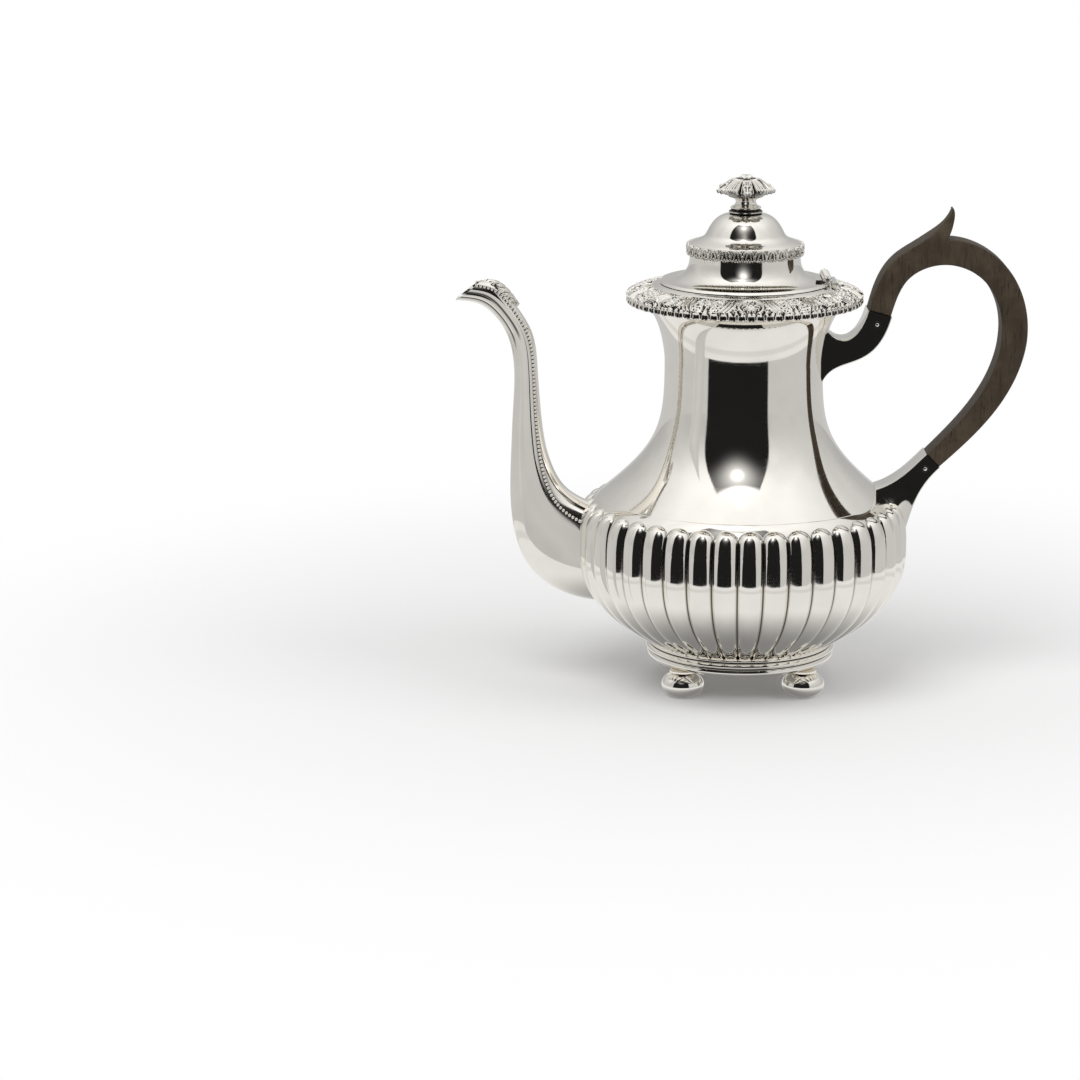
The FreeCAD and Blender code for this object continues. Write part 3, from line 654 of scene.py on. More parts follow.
@made_once
def polished_silver(nodes, finishes):
    """Bright silver with faint rubbing marks and smudges, darkened along the lines that pieces mark, which
    on this polished silver is painted shade: the bowl's valleys, the foot ring's grooves, the spout's
    flutes and the band beside its beads.
    """
    place, depth = nodes.place(), nodes.recess()
    rubbed = nodes.noise(nodes.stretched(place, (40.0, 40.0, 900.0)), 1.0, 4.0, 0.6)
    smudge = nodes.noise(place, 60.0, 3.0)
    wear = nodes.plus(nodes.span(rubbed, 0.45, 0.75, 0.04, 0.08), nodes.span(smudge, 0.5, 0.75, 0.0, 0.04))
    clean = nodes.blend(nodes.span(smudge, 0.35, 0.7), finishes.silver, dimmed(finishes.silver, 0.95))
    # Base colour: the marked lines turn to the oxide colour, which on these pieces is painted shade
    return nodes.principled(Metallic=1.0, Roughness=nodes.plus(wear, nodes.times(depth, 0.2)),
                            Base_Color=nodes.blend(nodes.span(depth, 0.1, 1.0), clean, finishes.recess),
                            Normal=nodes.bump(nodes.noise(place, 220.0, 3.0), 0.03, 0.0002))


@made_once
def cast_silver(nodes, finishes):
    """Silver casting, bright on its tops and dark with oxide in its recesses, and with painted shade where
    pieces mark it: the rim border's slots, the finial stem's groove and foot moulding, the hinge knuckles'
    grooves and the bead wires.
    """
    place = nodes.place()
    grime = nodes.span(nodes.noise(place, 900.0, 4.0, 0.6), 0.3, 0.7, 0.8, 1.1)
    dark = nodes.math("MULTIPLY", nodes.recess(), grime, clamp=True)
    # The marked dark turns the silver to the oxide colour: oxide in the relief, painted shade in slots,
    # grooves and on the wires
    metal = nodes.blend(nodes.span(dark, 0.12, 0.85), finishes.silver, finishes.recess)
    return nodes.principled(Metallic=1.0, Base_Color=metal,
                            Roughness=nodes.span(dark, 0.1, 0.9, 0.12, 0.45),
                            Normal=nodes.bump(nodes.noise(place, 1500.0, 3.0), 0.12, 0.0002))


@made_once
def dark_wood(nodes, finishes):
    """Worn dark wood with straight grain, mottled where the stain has gone."""
    place = nodes.place()
    lean = (0.0, radians(28.0), 0.0)
    grain = nodes.noise(nodes.stretched(place, (420.0, 420.0, 26.0), lean), 1.0, 6.0, 0.65)
    flecks = nodes.noise(nodes.stretched(place, (1300.0, 1300.0, 120.0), lean), 1.0, 2.0)
    streak = nodes.noise(nodes.stretched(place, (260.0, 260.0, 30.0), lean), 1.0, 3.0, 0.6)
    worn = nodes.noise(place, 70.0, 6.0, 0.7)
    bare = nodes.plus(nodes.span(streak, 0.35, 0.65, 0.1, 0.35), nodes.span(worn, 0.4, 0.68, 0.1, 0.6))
    light = nodes.blend(bare, finishes.wood, finishes.wood_worn)
    pores = nodes.blend(nodes.span(flecks, 0.58, 0.7), light, dimmed(finishes.wood, 0.85))
    height = nodes.plus(grain, nodes.times(flecks, 0.6))
    return nodes.principled(Specular_IOR_Level=0.2, Roughness=nodes.span(worn, 0.3, 0.7, 0.42, 0.6),
                            Normal=nodes.bump(height, 0.2, 0.0003), Base_Color=pores)


@made_once
def pin_metal(nodes, finishes):
    """Turned bright metal."""
    marks = nodes.noise(nodes.stretched(nodes.place(), (1200.0, 80.0, 1200.0)), 1.0, 3.0)
    bright = nodes.blend(nodes.span(marks, 0.35, 0.7), finishes.pin, dimmed(finishes.pin, 0.8))
    return nodes.principled(Metallic=1.0, Roughness=nodes.span(marks, 0.3, 0.7, 0.14, 0.3),
                            Base_Color=nodes.blend(nodes.recess(), bright, finishes.recess))


# Shapes that several pieces share


def crest_radius(size, z):
    """Radius over the crest of a lobe at a height."""
    belly = RING_TOP + size.belly_rise
    fall = np.clip((belly - z) / (belly - RING_TOP), 0.0, 1.2)
    rise = np.clip((z - belly) / (SEAM - belly), 0.0, 1.0)
    dive = size.bowl_radius - size.shoulder_radius + size.lobe_dive
    draw_in = (size.bowl_radius - size.bowl_foot_radius) * fall ** BELLY_FULLNESS
    return size.bowl_radius - draw_in - dive * rise ** SHOULDER_TURN


def bowl_skin(size):
    """Outline of the bowl under the lobes, from the foot ring to the seam with the neck."""
    z = np.linspace(RING_TOP - 0.8, SEAM - size.lobe_turn, 84)
    wall = np.stack([crest_radius(size, z) * (1 - size.lobe_depth / size.bowl_radius), z], -1)
    end = np.array([size.shoulder_radius, SEAM])
    slope = np.array([cos(size.shoulder_slope), -sin(size.shoulder_slope)])
    return outline(wall, bezier(wall[-1], wall[-1] + (-0.3, 5.5), end + 6.0 * slope, end, 48))


def neck_outline(size, inset):
    """Outline of the neck from the seam to its lip, inset from the outer face."""
    slope = size.shoulder_slope
    seam = size.shoulder_radius - inset / sin(slope)
    waist, waist_z = size.waist_radius - inset, SEAM + size.waist_rise
    lip, lip_z = size.lip_radius, LIP - size.sheet + inset
    shoulder = (seam - size.shoulder_pull * cos(slope), SEAM + size.shoulder_pull * sin(slope))
    lower = bezier((seam, SEAM), shoulder, (waist, waist_z - size.waist_pull), (waist, waist_z), 90)
    upper = bezier((waist, waist_z), (waist, waist_z + size.flare_pull), (lip - size.lip_pull, lip_z),
                   (lip, lip_z), 60)
    return outline(lower, upper)


def radius_at(points, z):
    """Radius of an outline at a height."""
    order = np.argsort(points[:, 1])
    return np.interp(z, points[order, 1], points[order, 0])


def hold_outside(points, skin, inside=0.6):
    """Moves points that lie within a turned skin to just under its surface."""
    points = np.array(points, float)
    away = np.hypot(points[..., 0], points[..., 1])
    least = radius_at(skin, points[..., 2]) - inside
    points[..., :2] *= np.where(away < least, least / np.maximum(away, 1e-6), 1.0)[..., None]
    return points


def settings(context):
    """The pot's sizes in millimetres and its finishes."""
    return Millimetres(context.scene.coffee_pot_sizes), context.scene.coffee_pot_finishes


# Pieces


class COFFEEPOT_OT_bowl(bpy.types.Operator):
    """Lobed bowl, with a groove between the lobes and a rounded end on each"""
    bl_idname = "coffee_pot.bowl"
    bl_label = "Bowl"

    def execute(self, context):
        size, finishes = settings(context)
        skin = bowl_skin(size)
        per_lobe = 20
        columns = size.lobe_count * per_lobe
        angles = (np.arange(columns) / per_lobe - 0.5) * tau / size.lobe_count
        along = run_length(skin)
        slope = np.gradient(skin, axis=0)
        slope /= np.linalg.norm(slope, axis=1)[:, None]
        across = (np.arange(columns) % per_lobe) / per_lobe * 2 - 1
        half = (pi / size.lobe_count * skin[:, 0])[:, None]
        top = np.interp(SEAM - size.lobe_end, skin[:, 1], along)
        past = np.clip(half - (top - along)[:, None], 0.0, None) * 0.95
        q = np.sqrt((across * half) ** 2 + past ** 2) / half
        depth = size.lobe_depth / size.bowl_radius * skin[:, :1] * 1.02
        rise = depth * np.clip(1 - q ** LOBE_ROUND, 0.0, 1.0) ** 0.9
        radius = skin[:, :1] + rise * slope[:, 1:]
        height = skin[:, 1:] - rise * slope[:, :1]
        outer = np.stack([radius * np.cos(angles), radius * np.sin(angles), height], -1)
        # Painted shade: a dark line down each valley between the lobes
        groove = hump(q, 1.0, 0.09) * (1 - smoothstep(past, 0.6 * half, 1.2 * half))
        seam = size.shoulder_radius - size.sheet / sin(size.shoulder_slope)
        inside = outline((seam, SEAM), skin[-60::-6] - (size.sheet, 0.0), (0.0, BASE + size.sheet))
        under = outline((0.0, BASE), (skin[0, 0] - 4.0, BASE))
        grid = np.concatenate([spin(under, angles), outer, spin(inside, angles)])
        dark = np.pad(0.75 * groove, ((len(under), len(inside)), (0, 0)))
        faces = lattice(len(grid), columns)
        add_piece("bowl_lobed", grid, faces, polished_silver(finishes), "pot", "bowl", dark, crease=50.0)
        return {"FINISHED"}


class COFFEEPOT_OT_neck(bpy.types.Operator):
    """Shoulder and waisted neck"""
    bl_idname = "coffee_pot.neck"
    bl_label = "Neck"

    def execute(self, context):
        size, finishes = settings(context)
        points = outline(neck_outline(size, 0.0), neck_outline(size, size.sheet)[::-1])
        add_turned("neck_waisted", points, polished_silver(finishes), "pot", "neck", 256)
        return {"FINISHED"}


class COFFEEPOT_OT_foot(bpy.types.Operator):
    """Reeded foot ring on four ball feet"""
    bl_idname = "coffee_pot.foot"
    bl_label = "Foot ring and ball feet"

    def execute(self, context):
        size, finishes = settings(context)
        silver = polished_silver(finishes)
        r, z, top = RING_RADIUS, RING_BOTTOM, RING_TOP
        low_groove, high_groove = z + size.lower_groove, z + size.upper_groove
        groove = r - size.reed_bulge
        inner = r - size.ring_breadth
        reeds = [bow((groove - 0.9, z), (r - 0.7, (z + low_groove) / 2), (groove, low_groove)),
                 bow((groove, low_groove), (r, (low_groove + high_groove) / 2),
                     (groove - 0.2, high_groove)),
                 bow((groove - 0.2, high_groove), (r - 1.2, (high_groove + top) / 2), (groove - 1.4, top))]
        points = outline((inner, z), *reeds, (inner, top))
        # Painted shade in the two grooves between the reeds
        dark = hump(points[:, 1], low_groove, 0.3) + hump(points[:, 1], high_groove, 0.3)
        add_turned("foot_ring_reeded", points, silver, "pot", "foot_ring", 224, dark, 30.0)
        for k in range(1, 5):
            self.ball("ball_foot_%d" % k, size, silver)
        return {"FINISHED"}

    def ball(self, node, size, silver):
        x, y = [(low(node, axis) + high(node, axis)) / 2 for axis in (0, 1)]
        wide, bottom, top = (high(node, 0) - low(node, 0)) / 2, low(node), high(node)
        collar = top - 0.8
        middle = (bottom + collar) / 2
        tall = middle - bottom + 0.4
        start, end = -asin(min(1.0, (middle - bottom) / tall)), asin((collar - middle) / tall)
        turn = np.linspace(start, end, 28)
        ball = np.stack([wide * np.cos(turn), middle + tall * np.sin(turn)], -1)
        points = outline((0.0, bottom), ball, (size.ball_neck, collar), (size.ball_neck, top), (0.0, top))
        grid = spin(points, ring_angles(72)) + (x, y, 0.0)
        add_piece(node + "_turned", grid, lattice(len(points), 72), silver, "pot", node)


def border_relief(half_length, breadth, rise):
    """Half of one repeat of the rim border: half a daisy, flutes, curling leaves and half a rosette."""
    relief = Relief(half_length, breadth, 0.14)

    def at(u, v):
        """Place on the patch, in twentieths of its length and in shares of its breadth."""
        return u * half_length / 20.0, v * breadth

    relief.rosette(at(0.0, 0.56), 4.8, 10, rise)
    relief.ridge(bezier(at(0.0, 0.1), at(2.6, 0.03), at(5.0, 0.16), at(5.6, 0.5), 8), 0.6, 0.7, rise)
    relief.ridge(bezier(at(5.6, 0.5), at(5.8, 0.75), at(4.4, 0.9), at(2.6, 0.97), 8), 0.7, 0.6, rise)
    for k in range(3):
        u = 6.9 + 1.9 * k
        sweep = bezier(at(u, 0.05), at(u + 0.1, 0.4), at(u + 1.0, 0.75), at(u + 3.4, 0.97), 9)
        relief.ridge(sweep, 0.6, 0.75, rise)
    scrolls = (((12.8, 0.1), (15.4, 0.24)), ((13.2, 0.3), (16.2, 0.5)), ((14.2, 0.56), (16.8, 0.76)))
    for root, tip in scrolls:
        path = bow(at(*root), at(tip[0], root[1] - 0.04), at(*tip), 6)
        relief.scroll(path, 0.75, rise, 1.05)
    for root, tip, swing, width, pairs in (
            (at(12.4, 0.66), at(16.4, 0.08), 0.12, 1.25, 3), (at(13.0, 0.8), at(18.4, 0.97), -0.1, 1.25, 3),
            (at(17.2, 0.1), at(19.6, 0.02), 0.2, 1.1, 2), (at(6.4, 0.92), at(8.0, 0.5), 0.1, 0.9, 2),
            (at(6.2, 0.4), at(5.6, 0.06), 0.1, 0.9, 2)):
        relief.leaf(root, tip, swing, width, 0.85 * rise, pairs)
    curl = bezier(at(14.8, 0.97), at(17.4, 1.0), at(18.6, 0.82), at(17.4, 0.74), 8)
    relief.scroll(curl, 0.6, rise, 0.8)
    relief.rosette(at(20.0, 0.42), 3.8, 8, rise)
    relief.ridge([at(20.0, 0.72), at(20.0, 1.0)], 0.6, 1.0, rise, 0.4)
    for k in range(8):
        relief.mound(at(0.9 + 2.7 * k, 1.0), 0.95, 0.85 * rise)
    for k in range(7):
        relief.mound(at(1.2 + 3.0 * k, 0.0), 0.8, 0.7 * rise)
    return relief


class COFFEEPOT_OT_rim(bpy.types.Operator):
    """Flat ring round the mouth and the cast border outside it"""
    bl_idname = "coffee_pot.rim"
    bl_label = "Rim collar and border"

    def execute(self, context):
        size, finishes = settings(context)
        inner, mouth, wall = high("rim_collar", 0), size.mouth_radius, size.sheet
        deep, edge = low("rim_collar"), RIM - size.mouth_slope
        ring = outline((mouth, RIM - 0.3), (mouth + 0.3, RIM), (mouth + size.mouth_seat, RIM),
                       (inner, edge), (inner, edge - wall), (mouth + wall, edge - wall),
                       (mouth + wall, deep), (mouth, deep))
        add_turned("rim_collar_turned", ring, polished_silver(finishes), "pot", "rim_collar", 224)
        self.border(size, finishes)
        return {"FINISHED"}

    def border(self, size, finishes):
        inner, outer, hang = high("rim_collar", 0) + size.gap, high("rim_border", 0), low("rim_border")
        top, floor, lip = high("rim_border") - size.border_rise, LIP + size.gap, size.lip_radius + size.gap
        slope = bezier((inner, top), (inner + 4.6, top - 0.2), (outer - 4.0, floor + 3.2),
                       (outer - 1.5, floor + 0.9), 48)
        edge = bezier((outer - 1.2, floor + 0.6), (outer - 0.9, floor), (outer - 0.9, hang + 0.3),
                      (outer - 1.2, hang), 9)
        points = outline(slope, edge, (lip, hang), (lip, floor), (inner, floor))
        repeats, columns = size.border_repeats, size.border_repeats * 120
        half_length = pi * (inner + outer) / 2 / repeats
        along = run_length(points)
        upper = slice(0, len(slope))
        relief = border_relief(half_length, along[len(slope) - 1], size.border_rise)
        raised, dark = np.zeros((2, len(points), columns))
        raised[upper] = relief.wrapped(relief.height, along[upper], repeats, columns)
        dark[upper] = relief.wrapped(relief.recesses(size.border_rise), along[upper], repeats, columns)
        below = slice(len(slope), len(slope) + len(edge))
        pitch = np.arange(columns) / columns * repeats * size.border_slots
        pitch = np.abs(pitch - np.round(pitch))
        slot = smoothstep(pitch, 0.04, 0.08) * (1 - smoothstep(pitch, 0.31, 0.35))
        band = np.sin(np.linspace(0.0, pi, len(edge)))[:, None] ** 0.4
        swell = 0.45 * np.cos(np.arange(columns) / columns * repeats * 6 * tau)
        raised[below] = 0.3 + 0.3 * swell - 1.1 * slot * band
        # Painted shade in the slots under the border, dark across the middle of the border's edge
        dark[below] = slot * smoothstep(band, 0.3, 0.7)
        grid = raised_spin(points, raised, ring_angles(columns))
        faces = lattice(len(points), columns, close_rows=True)
        add_piece("rim_border_cast", grid, faces, cast_silver(finishes), "pot", "rim_border", dark, 60.0)


def lid_outline(size, inset):
    """Outline of the lid from its flange to its top, inset from the outer face."""
    face = LID_FLANGE + size.sheet - inset
    flat, waist = size.lid_radius - size.lid_flat, size.lid_waist_radius - inset
    band = LID_FLANGE + size.sheet + size.lid_waist_rise
    band_top = band + size.lid_band - inset
    step = size.lid_step_radius - inset / sin(size.lid_flank)
    step_z = band + size.lid_band + size.lid_step_rise
    lean, top, crown = 1 / tan(size.lid_flank), LID_TOP - inset, size.lid_crown
    under, over = 0.6 * size.lid_step_rise, 0.5 * (LID_TOP - step_z)
    waist_curve = bezier((flat, face), (flat - 0.6 * (flat - waist), face), (waist, face + 4.4),
                         (waist, band), 40)
    step_curve = bezier((waist, band_top), (waist - 0.4 * (waist - step), band_top + 1.9),
                        (step + lean * under, step_z - under), (step, step_z), 26)
    dome = bezier((step, step_z), (step - lean * over, step_z + over), (crown + 0.6 * (step - crown), top),
                  (crown, top), 26)
    return outline(waist_curve, step_curve, dome, (0.0, top))


class COFFEEPOT_OT_lid(bpy.types.Operator):
    """Domed lid with its bezel and small cast border"""
    bl_idname = "coffee_pot.lid"
    bl_label = "Lid"

    def execute(self, context):
        size, finishes = settings(context)
        silver = polished_silver(finishes)
        wall, rim, bottom = size.sheet, size.lid_radius, LID_FLANGE
        face = bottom + wall
        edge = bezier((rim - 0.9, face - 0.1), (rim - 1.0, face), (rim - 1.1, face), (rim - 1.3, face), 4)
        points = outline((rim, bottom), (rim, bottom + 0.1), edge, lid_outline(size, 0.0),
                         lid_outline(size, wall)[::-1])
        notch_x = HINGE_X - size.hinge_room
        notch = asin((HINGE_HALF + size.hinge_gap) / rim)
        corners = [side * notch + step for side in (-1, 1) for step in (-0.0008, 0.0008)]
        angles = np.concatenate([np.linspace(0.0, tau, 240, endpoint=False) + pi / 240, corners]) % tau
        angles.sort()
        grid = spin(points, angles)
        swing = (angles + pi) % tau - pi
        reach = np.where(np.abs(swing) < notch, notch_x / np.cos(swing), 1e3)
        away = np.hypot(grid[..., 0], grid[..., 1])
        grid[..., :2] *= np.minimum(1.0, reach / np.maximum(away, 1e-6))[..., None]
        faces = lattice(len(points), len(angles), close_rows=True)
        add_piece("lid_domed", grid, faces, silver, "lid", "lid_cover")
        outer, deep, top = high("lid_bezel", 0), low("lid_bezel"), high("lid_bezel")
        bezel = outline((outer - wall, deep), (outer - 0.3, deep), (outer, deep + 0.4), (outer, top),
                        (outer - wall, top))
        add_turned("lid_bezel_turned", bezel, silver, "lid", "lid_bezel", 192)
        self.border(size, finishes)
        return {"FINISHED"}

    def border(self, size, finishes):
        bottom, top = low("lid_border"), high("lid_border")
        inner, outer = size.lid_waist_radius + size.gap, high("lid_border", 0)
        rise, ground = size.lid_border_rise, outer - size.lid_border_rise
        front = bezier((ground - 0.4, top), (ground + 0.1, top - 0.6), (ground + 0.1, bottom + 0.6),
                       (ground - 0.4, bottom), 30)
        points = outline((inner, top), front, (inner, bottom))
        repeats, columns = size.lid_border_repeats, size.lid_border_repeats * 36
        half_length = pi * outer / repeats
        along = run_length(front)
        scale = np.array([half_length, along[-1]])
        relief = Relief(half_length, along[-1], 0.08)
        for root, tip in ((0.02, 0.42), (0.52, 0.95)):
            leaf = bow(scale * (root, 0.12), scale * (root + 0.3, 0.4), scale * (tip, 0.9), 5)
            relief.ridge(leaf, 0.62, 0.4, rise, groove=0.25)
        for berry in ((0.0, 0.8), (0.3, 0.08), (0.62, 0.92), (0.78, 0.22), (1.0, 0.5), (0.18, 0.98),
                      (1.0, 0.02)):
            relief.mound(scale * berry, 0.55, 0.9 * rise)
        rows = slice(1, 1 + len(front))
        raised, dark = np.zeros((2, len(points), columns))
        raised[rows] = relief.wrapped(relief.height, along, repeats, columns)
        dark[rows] = 0.85 * relief.wrapped(relief.recesses(rise), along, repeats, columns)
        raised[[1, len(front)]] *= 0.5
        grid = raised_spin(points, raised, ring_angles(columns))
        faces = lattice(len(points), columns, close_rows=True)
        add_piece("lid_border_cast", grid, faces, cast_silver(finishes), "lid", "lid_border", dark, 60.0)


class COFFEEPOT_OT_finial(bpy.types.Operator):
    """Finial: a turned stem, a drooping flower and the nut that holds them"""
    bl_idname = "coffee_pot.finial"
    bl_label = "Finial"

    def execute(self, context):
        size, finishes = settings(context)
        foot, stud, tall = LID_TOP + size.gap, low("finial_stem"), STEM_TOP - LID_TOP - size.gap

        def at(share):
            return foot + share * tall

        wide, ring, neck, seat = size.stem_foot, size.stem_ring, size.stem_neck, size.stem_seat
        hollow = bezier((ring - 0.6, at(0.42)), (neck, at(0.5)), (neck, at(0.62)), (neck, at(0.75)), 10)
        flare = bezier((neck, at(0.75)), (neck + 0.3, at(0.9)), (seat - 1.0, at(0.95)), (seat, at(1.0)), 8)
        stem = outline((0.0, stud), (size.stud_radius, stud), (size.stud_radius, foot),
                       bow((wide - 0.4, foot), (wide + 0.3, at(0.1)), (wide - 0.5, at(0.2))),
                       (wide - 1.6, at(0.22)), (wide - 1.6, at(0.27)),
                       bow((ring - 0.4, at(0.28)), (ring, at(0.34)), (ring - 0.4, at(0.4))),
                       hollow, flare, (0.0, at(1.0)))
        # Painted shade: a dark ring in the groove above the foot moulding, and the foot moulding dark but
        # for a lighter line round its bulge
        dark = 0.95 * hump(stem[:, 1], at(0.245), 0.055 * tall)
        moulding = 0.9 - 0.7 * hump(stem[:, 1], at(0.1), 0.03 * tall)
        dark = np.maximum(dark, moulding * (stem[:, 1] < at(0.21)))
        add_turned("finial_stem_turned", stem, cast_silver(finishes), "lid", "finial_stem", 120, dark)
        self.flower(size, finishes)
        corner, bore = size.nut_corner, size.stud_radius + 0.15
        nut_low, nut_top = low("finial_nut"), high("finial_nut")
        nut = outline((bore, nut_low), (corner - 0.5, nut_low), (corner, nut_low + 0.4), (corner, nut_top),
                      (bore, nut_top))
        add_turned("finial_nut_hexagon", nut, pin_metal(finishes), "lid", "finial_nut", 6)
        return {"FINISHED"}

    @staticmethod
    def palmette():
        """Half of a narrow petal: a rib down its side and two curls beside the middle."""
        relief = Relief(4.2, 10.0, 0.1)
        relief.ridge([(0.0, 0.0), (0.0, 10.0)], 0.5, 0.6, 0.9)
        relief.ridge([(2.6, 0.0), (3.6, 5.0), (3.8, 10.0)], 0.5, 0.6, 1.0)
        for root in (1.6, 5.2):
            path = bezier((0.3, root), (2.6, root - 0.8), (3.2, root + 2.2), (1.5, root + 2.4), 8)
            relief.scroll(path, 0.5, 1.0, 0.75)
        relief.mound((1.2, 9.2), 1.0, 0.9)
        return relief

    def flower(self, size, finishes):
        """Four narrow leaf petals with four fluted shell petals between them, round a small rosette."""
        reach, seat, top = size.flower_radius, low("finial_flower"), FLOWER_TOP
        columns = 8 * 54
        angles = ring_angles(columns)
        quarter = np.arange(columns) / columns * 4
        off = np.abs(quarter - np.round(quarter)) * tau / 4
        leaf = off < size.flower_leaf
        across = np.where(leaf, off / size.flower_leaf, (tau / 8 - off) / (tau / 8 - size.flower_leaf))
        share = np.linspace(0.0, 1.0, 46)[:, None]
        leaf_edge = 0.93 - 0.2 * across ** 1.6 + 0.03 * np.cos(across * 9.0)
        edge = np.where(leaf, leaf_edge, 1 - 0.2 * across ** 3)
        radius = share * reach * (1 - (1 - edge) * smoothstep(share, 0.3, 1.0))
        fall = np.where(leaf, 6.8 * share ** 1.7, 6.0 * share ** 1.9 - 0.7 * smoothstep(share, 0.88, 1.0))
        out = smoothstep(share, 0.28, 0.5)
        flutes = 0.35 * (np.cos(across * pi * 9.0) - 1.0) * (1 - smoothstep(across, 0.74, 0.82))
        rolled = 0.5 * np.maximum(hump(across, 0.88, 0.08), hump(share, 0.95, 0.04))
        palmette = self.palmette()
        u, v = across * palmette.width + 0 * share, (share - 0.28) / 0.72 * palmette.depth + 0 * across
        veins = palmette.sample(palmette.height, u, v) - 0.5
        shade = palmette.sample(palmette.recesses(1.0), u, v)
        gap = hump(across, 1.0, 0.1) * smoothstep(share, 0.34, 0.6)
        heart = hump(share, 0.17, 0.06) * 0.35 * np.cos(angles * 8) - 0.8 * hump(share, 0.27, 0.035)
        shape = np.where(leaf, veins, flutes + rolled)
        crown = 0.9 * (1 - smoothstep(share, 0.1, 0.3))
        height = top - 0.9 - fall + out * shape - 1.2 * gap + heart + crown
        upper = np.stack([radius * np.cos(angles), radius * np.sin(angles), height], -1)
        deep = np.maximum(0.95 * gap, out * np.where(leaf, 0.75 * shade, -1.1 * flutes - rolled))
        deep = np.maximum(deep, hump(share, 0.27, 0.05) + 0 * angles)
        below = np.array([0.97, 0.8, 0.62, size.stem_seat / reach, 0.0])[:, None]
        drop = np.array([2.4, 2.0, 0.5, 0.0, 0.0])[:, None]
        under_radius = below * reach * np.where(below > 0.6, edge, 1.0)
        under_height = seat + drop + 0 * angles
        under_height[0] = np.minimum(under_height[0], height[-1] - 0.9)
        under = np.stack([under_radius * np.cos(angles), under_radius * np.sin(angles), under_height], -1)
        grid = np.concatenate([upper, under])
        dark = np.concatenate([np.clip(deep, 0.0, 1.0), np.full((len(below), columns), 0.5)])
        add_piece("finial_flower_cast", grid, lattice(len(grid), columns), cast_silver(finishes), "lid",
                  "finial_flower", dark, crease=60.0)


class COFFEEPOT_OT_hinge(bpy.types.Operator):
    """Barrel hinge of five knuckles on a pin, with a leaf on the rim and one on the lid"""
    bl_idname = "coffee_pot.hinge"
    bl_label = "Hinge"

    def execute(self, context):
        size, finishes = settings(context)
        leaves = (("hinge_pot_leaf", "pot", (0, 2, 4)), ("hinge_lid_leaf", "lid", (1, 3)))
        for node, body, knuckles in leaves:
            points, faces, dark = [], [], []
            for k in knuckles:
                start = HINGE_HALF * (0.4 * k - 1.0) + (size.hinge_gap / 2 if k > 0 else 0.0)
                end = HINGE_HALF * (0.4 * k - 0.6) - (size.hinge_gap / 2 if k < 4 else 0.0)
                self.knuckle(points, faces, dark, size, start, end)
            self.plate(points, faces, dark, size, node)
            add_piece(node + "_cast", points, faces, cast_silver(finishes), body, node, dark, 30.0)
        wide, boss = size.knuckle_bore - 0.05, 0.92 * size.knuckle_radius
        end, cap = HINGE_HALF, size.pin_cap
        dome = bezier((boss, end), (boss, end + cap / 1.5), (0.6 * boss, end + cap), (0.0, end + cap), 10)
        head = outline((wide, end), dome)
        pin = outline((head * (1, -1))[::-1], head)
        angles = ring_angles(64)
        berries = 0.22 * hump(np.abs(pin[:, 1]), end + cap / 2, 0.39 * cap)[:, None] * np.cos(8 * angles)
        grid = spin(pin, angles)
        grid[..., :2] *= (1 + berries)[..., None]
        grid = lay_along_y(grid, HINGE_X, HINGE_Z)
        add_piece("hinge_pin_turned", grid, lattice(len(pin), 64), pin_metal(finishes), "pot", "hinge_pin")
        return {"FINISHED"}

    def knuckle(self, points, faces, dark, size, start, end):
        """Reeded knuckle of the barrel."""
        turn = np.linspace(0.0, 3 * pi, 25)
        reed = np.abs(np.sin(turn)) ** 0.6
        barrel = np.stack([size.knuckle_radius - 0.5 * (1 - reed), np.linspace(start, end, 25)], -1)
        ring = outline((size.knuckle_bore, start), barrel, (size.knuckle_bore, end))
        grid = lay_along_y(spin(ring, ring_angles(40)), HINGE_X, HINGE_Z)
        shade = np.concatenate([[0.0], 0.8 * (1 - reed), [0.0]])
        self.extend(points, faces, grid, lattice(len(ring), 40, close_rows=True))
        dark.extend(np.repeat(shade, 40).tolist())

    def plate(self, points, faces, dark, size, node):
        """Flat leaf beside the barrel."""
        x = np.array([HINGE_X + size.hinge_room, high(node, 0)])
        z = np.array([RIM + size.gap, RIM + size.gap + size.hinge_leaf])
        if node == "hinge_lid_leaf":
            x = np.array([low(node, 0), HINGE_X - size.hinge_room])
            z = LID_FLANGE + size.sheet + 0.1 + np.array([0.0, size.hinge_leaf])
        loop = [(x[0], z[0]), (x[1], z[0]), (x[1], z[1]), (x[0], z[1])]
        grid = np.array([[(a, y, b) for a, b in loop] for y in (-HINGE_HALF, HINGE_HALF)])
        sides = lattice(2, 4).tolist()
        self.extend(points, faces, grid, np.array(sides + [[3, 2, 1, 0], [4, 5, 6, 7]]))
        dark.extend([0.0] * 8)

    @staticmethod
    def extend(points, faces, grid, more):
        faces.extend((np.asarray(more) + len(points)).tolist())
        points.extend(grid.reshape(-1, 3).tolist())


# Spout: outer edge, inner edge and half breadth of each section, from the belly and the foot ring's top
SPOUT_SECTIONS = [
    (-20.5, 17.6, -20.5, 63.6, 15.0),
    (3.5, 21.1, -4.5, 68.6, 14.5),
    (23.0, 35.1, 6.0, 75.6, 12.0),
    (32.0, 63.6, 12.5, 87.1, 9.3),
    (32.1, 90.6, 15.8, 99.1, 7.6),
    (31.1, 113.6, 17.9, 116.6, 6.8),
    (30.5, 133.6, 19.2, 135.1, 6.3),
    (33.7, 150.1, 22.1, 152.1, 6.0),
    (40.0, 159.9, 29.7, 164.9, 6.0),
    (48.5, 165.8, 38.0, 174.4, 5.8),
    (58.8, 167.2, 46.3, 176.8, 5.4),
]


